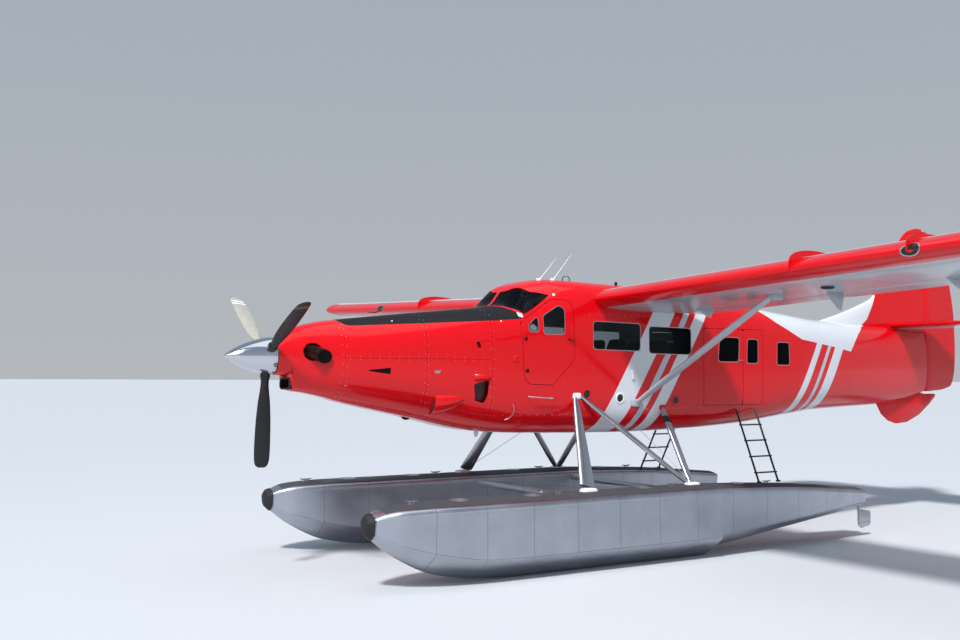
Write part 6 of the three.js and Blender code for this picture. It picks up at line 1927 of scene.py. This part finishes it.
blade_mast = slab([(5090, -150), (5130, -145), (5160, -270), (5120, -285)], -850, 8, 4, 8)
mesh_piece("side_air_blade", blade_mast, white_enamel)
pull = rod([(7235, 10, 4), (7240, 10, 20), (7300, 6, 20), (7305, 6, 4)], 16)
mesh_piece("front_leaf_latch", pull, bare_aluminium, "left_cabin_door_front")
print("caps and ports", 1 + len(PORTS))

# %% [markdown]
# ## Aerials and windshield trim
# Two whips and a loop stand on the roof, and small white fittings show at the windshield and on the cowl.

# %% Aerials and windshield trim
def whip(x, phi, top, lean):
    """A whip aerial: a white foot on the roof and a rod that thins towards its tip."""
    foot, sizes = hull_surface(x, phi), np.linspace(12, 4, 8)
    mast = bar(np.linspace(foot, foot + (lean[0], lean[1], top), 8), sizes, sizes, 8)
    return pebble(foot + (0, 0, 12), (70, 44, 44), 0.6), mast


whips = [whip(3830, 70.7, 330, (300, 0)), whip(3999, 66.5, 390, (330, 0))]
mesh_piece("whip_feet", joined(*[w[0] for w in whips]), white_enamel)
mesh_piece("whip_rods", joined(*[w[1] for w in whips]), white_enamel)
LOOP = np.array([(-60, 0, -10), (-58, 0, 40), (-30, 0, 62), (30, 0, 64), (60, 0, 44), (64, 0, -10)])
loop = bar(hull_surface(4242, 67.4) + LOOP, 13, 13, 8)
stub = pebble(hull_surface(5115, 65.4) + (0, 0, 20), (46, 26, 60), 0.6)
mesh_piece("loop_aerial", joined(loop, stub), black_epoxy, slot="bumper_rubber")
drain_block = hood([(3262, 560, 618, 2), (3268, 556, 622, 9), (3318, 545, 596, 9), (3324, 550, 590, 2)])
pair("windshield_drain_block", drain_block, white_enamel)
corner = cap(3851, 874, [(20, -4), (20, 6), (14, 10), (4, 10)], 14)
pair("windshield_corner_fitting", corner, white_enamel)
chips = [cap(x, z, [(11, -2), (11, 3), (3, 4)], 10) for x, z in ((1534, 458), (2983, 487))]
mesh_piece("panel_clips", joined(*chips), white_enamel)
print("whips", len(whips))

# %% [markdown]
# ## On the wing
# The landing light follows the wing's nose, so its rings are given as a share of the chord above and
# below the leading edge. Brackets hang behind the wing, and a round lamp and a pitot tube stand under it.

# %% Wing lights, flap brackets and pitot
def on_wing(y, s, side, proud=0.0):
    """A port wing point at a distance out, a share of the chord and a side, as the wing itself is made."""
    flat = wing_point(s, side, proud)
    out = np.broadcast_to(np.asarray(y, float), flat.shape[:-1])
    return raised(np.stack([flat[..., 0], out, flat[..., 1]], -1))


def edge_patch(middle_y, half_y, half_reach, profile, shift=0.02):
    """An oval over the leading edge. Its rings run round with reach a = shift + half reach r sin t, and the
    share of the chord is a squared, above where a is positive and below where it is negative."""
    a = 2 * np.pi * np.arange(40) / 40
    rings = []
    for r, proud in profile:
        reach = shift + half_reach * r * np.sin(a)
        side = np.where(reach < 0, -1.0, 1.0)
        flat = np.array([wing_point(value * value, way, proud) for value, way in zip(reach, side)])
        rings.append(raised(np.c_[flat[:, 0], middle_y + half_y * r * np.cos(a), flat[:, 1]]))
    return lofted(rings)


LIGHT = (5872, 118, 0.15)  # distance out, half width, half reach
rim = edge_patch(*LIGHT, [(1.0, -8), (1.0, 5), (0.86, 6), (0.85, -6)])
pane = edge_patch(*LIGHT, [(0.85, -9), (0.85, 4), (0.5, 5), (0.05, 5)])
pair("landing_light_rim", rim, bare_aluminium)
# painted shade: the lamp's glass is opaque near-black, standing for the shade inside the lamp
pair("landing_light_glass", pane, black_epoxy, slot="glazing")
lamp_place = on_wing(4150, 0.42, -1)
angles = 2 * np.pi * np.arange(28) / 28
round_lamp = lofted([lamp_place + np.c_[r * np.cos(angles), r * np.sin(angles), np.full(28, float(h))]
                     for r, h in ((80, 20), (80, -14), (66, -22), (62, -12), (5, -12))])
pair("wing_lamp", round_lamp, black_epoxy, slot="engine_castings")


def flap_bracket(y, depth):
    """A plate under the wing's rear: it hangs from the skin at 0.62 of the chord to a point behind."""
    high, far = on_wing(y, 0.62, -1), on_wing(y, 0.8, -1)
    outline = [(high[0], high[2] + 12), (far[0], far[2] + 20), (far[0] - 60, far[2] - depth),
               (far[0] - 110, far[2] - depth + 14)]
    return slab(outline, -y, 9, 4, 12)


BRACKETS = [(3770, 210), (1500, 120), (5400, 120), (7300, 100)]  # distance out, depth
pair("flap_brackets", joined(*[flap_bracket(y, depth) for y, depth in BRACKETS]), grey_enamel)
pitot_line = on_wing(5900, 0.0, 1) + np.array([(30, 0, -5), (-40, 0, -40), (-60, 0, -60), (-240, 0, -62)])
pitot = bar(pitot_line, [24, 22, 20, 14], [24, 22, 20, 14], 12, fore=(0, 1, 0))
mesh_piece("pitot_tube", mirrored(pitot), black_epoxy, slot="bumper_rubber")
print("brackets", len(BRACKETS))

# %% [markdown]
# ## The box, before and after
# The looks are built to stay inside the frame's own box. Both boxes are printed, so that they can be compared.

# %% Sizes and the end
size = {"cad": [[float(v) for v in c] for c in cad_box], "visual": [[float(v) for v in c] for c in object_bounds()]}
print("size", size)
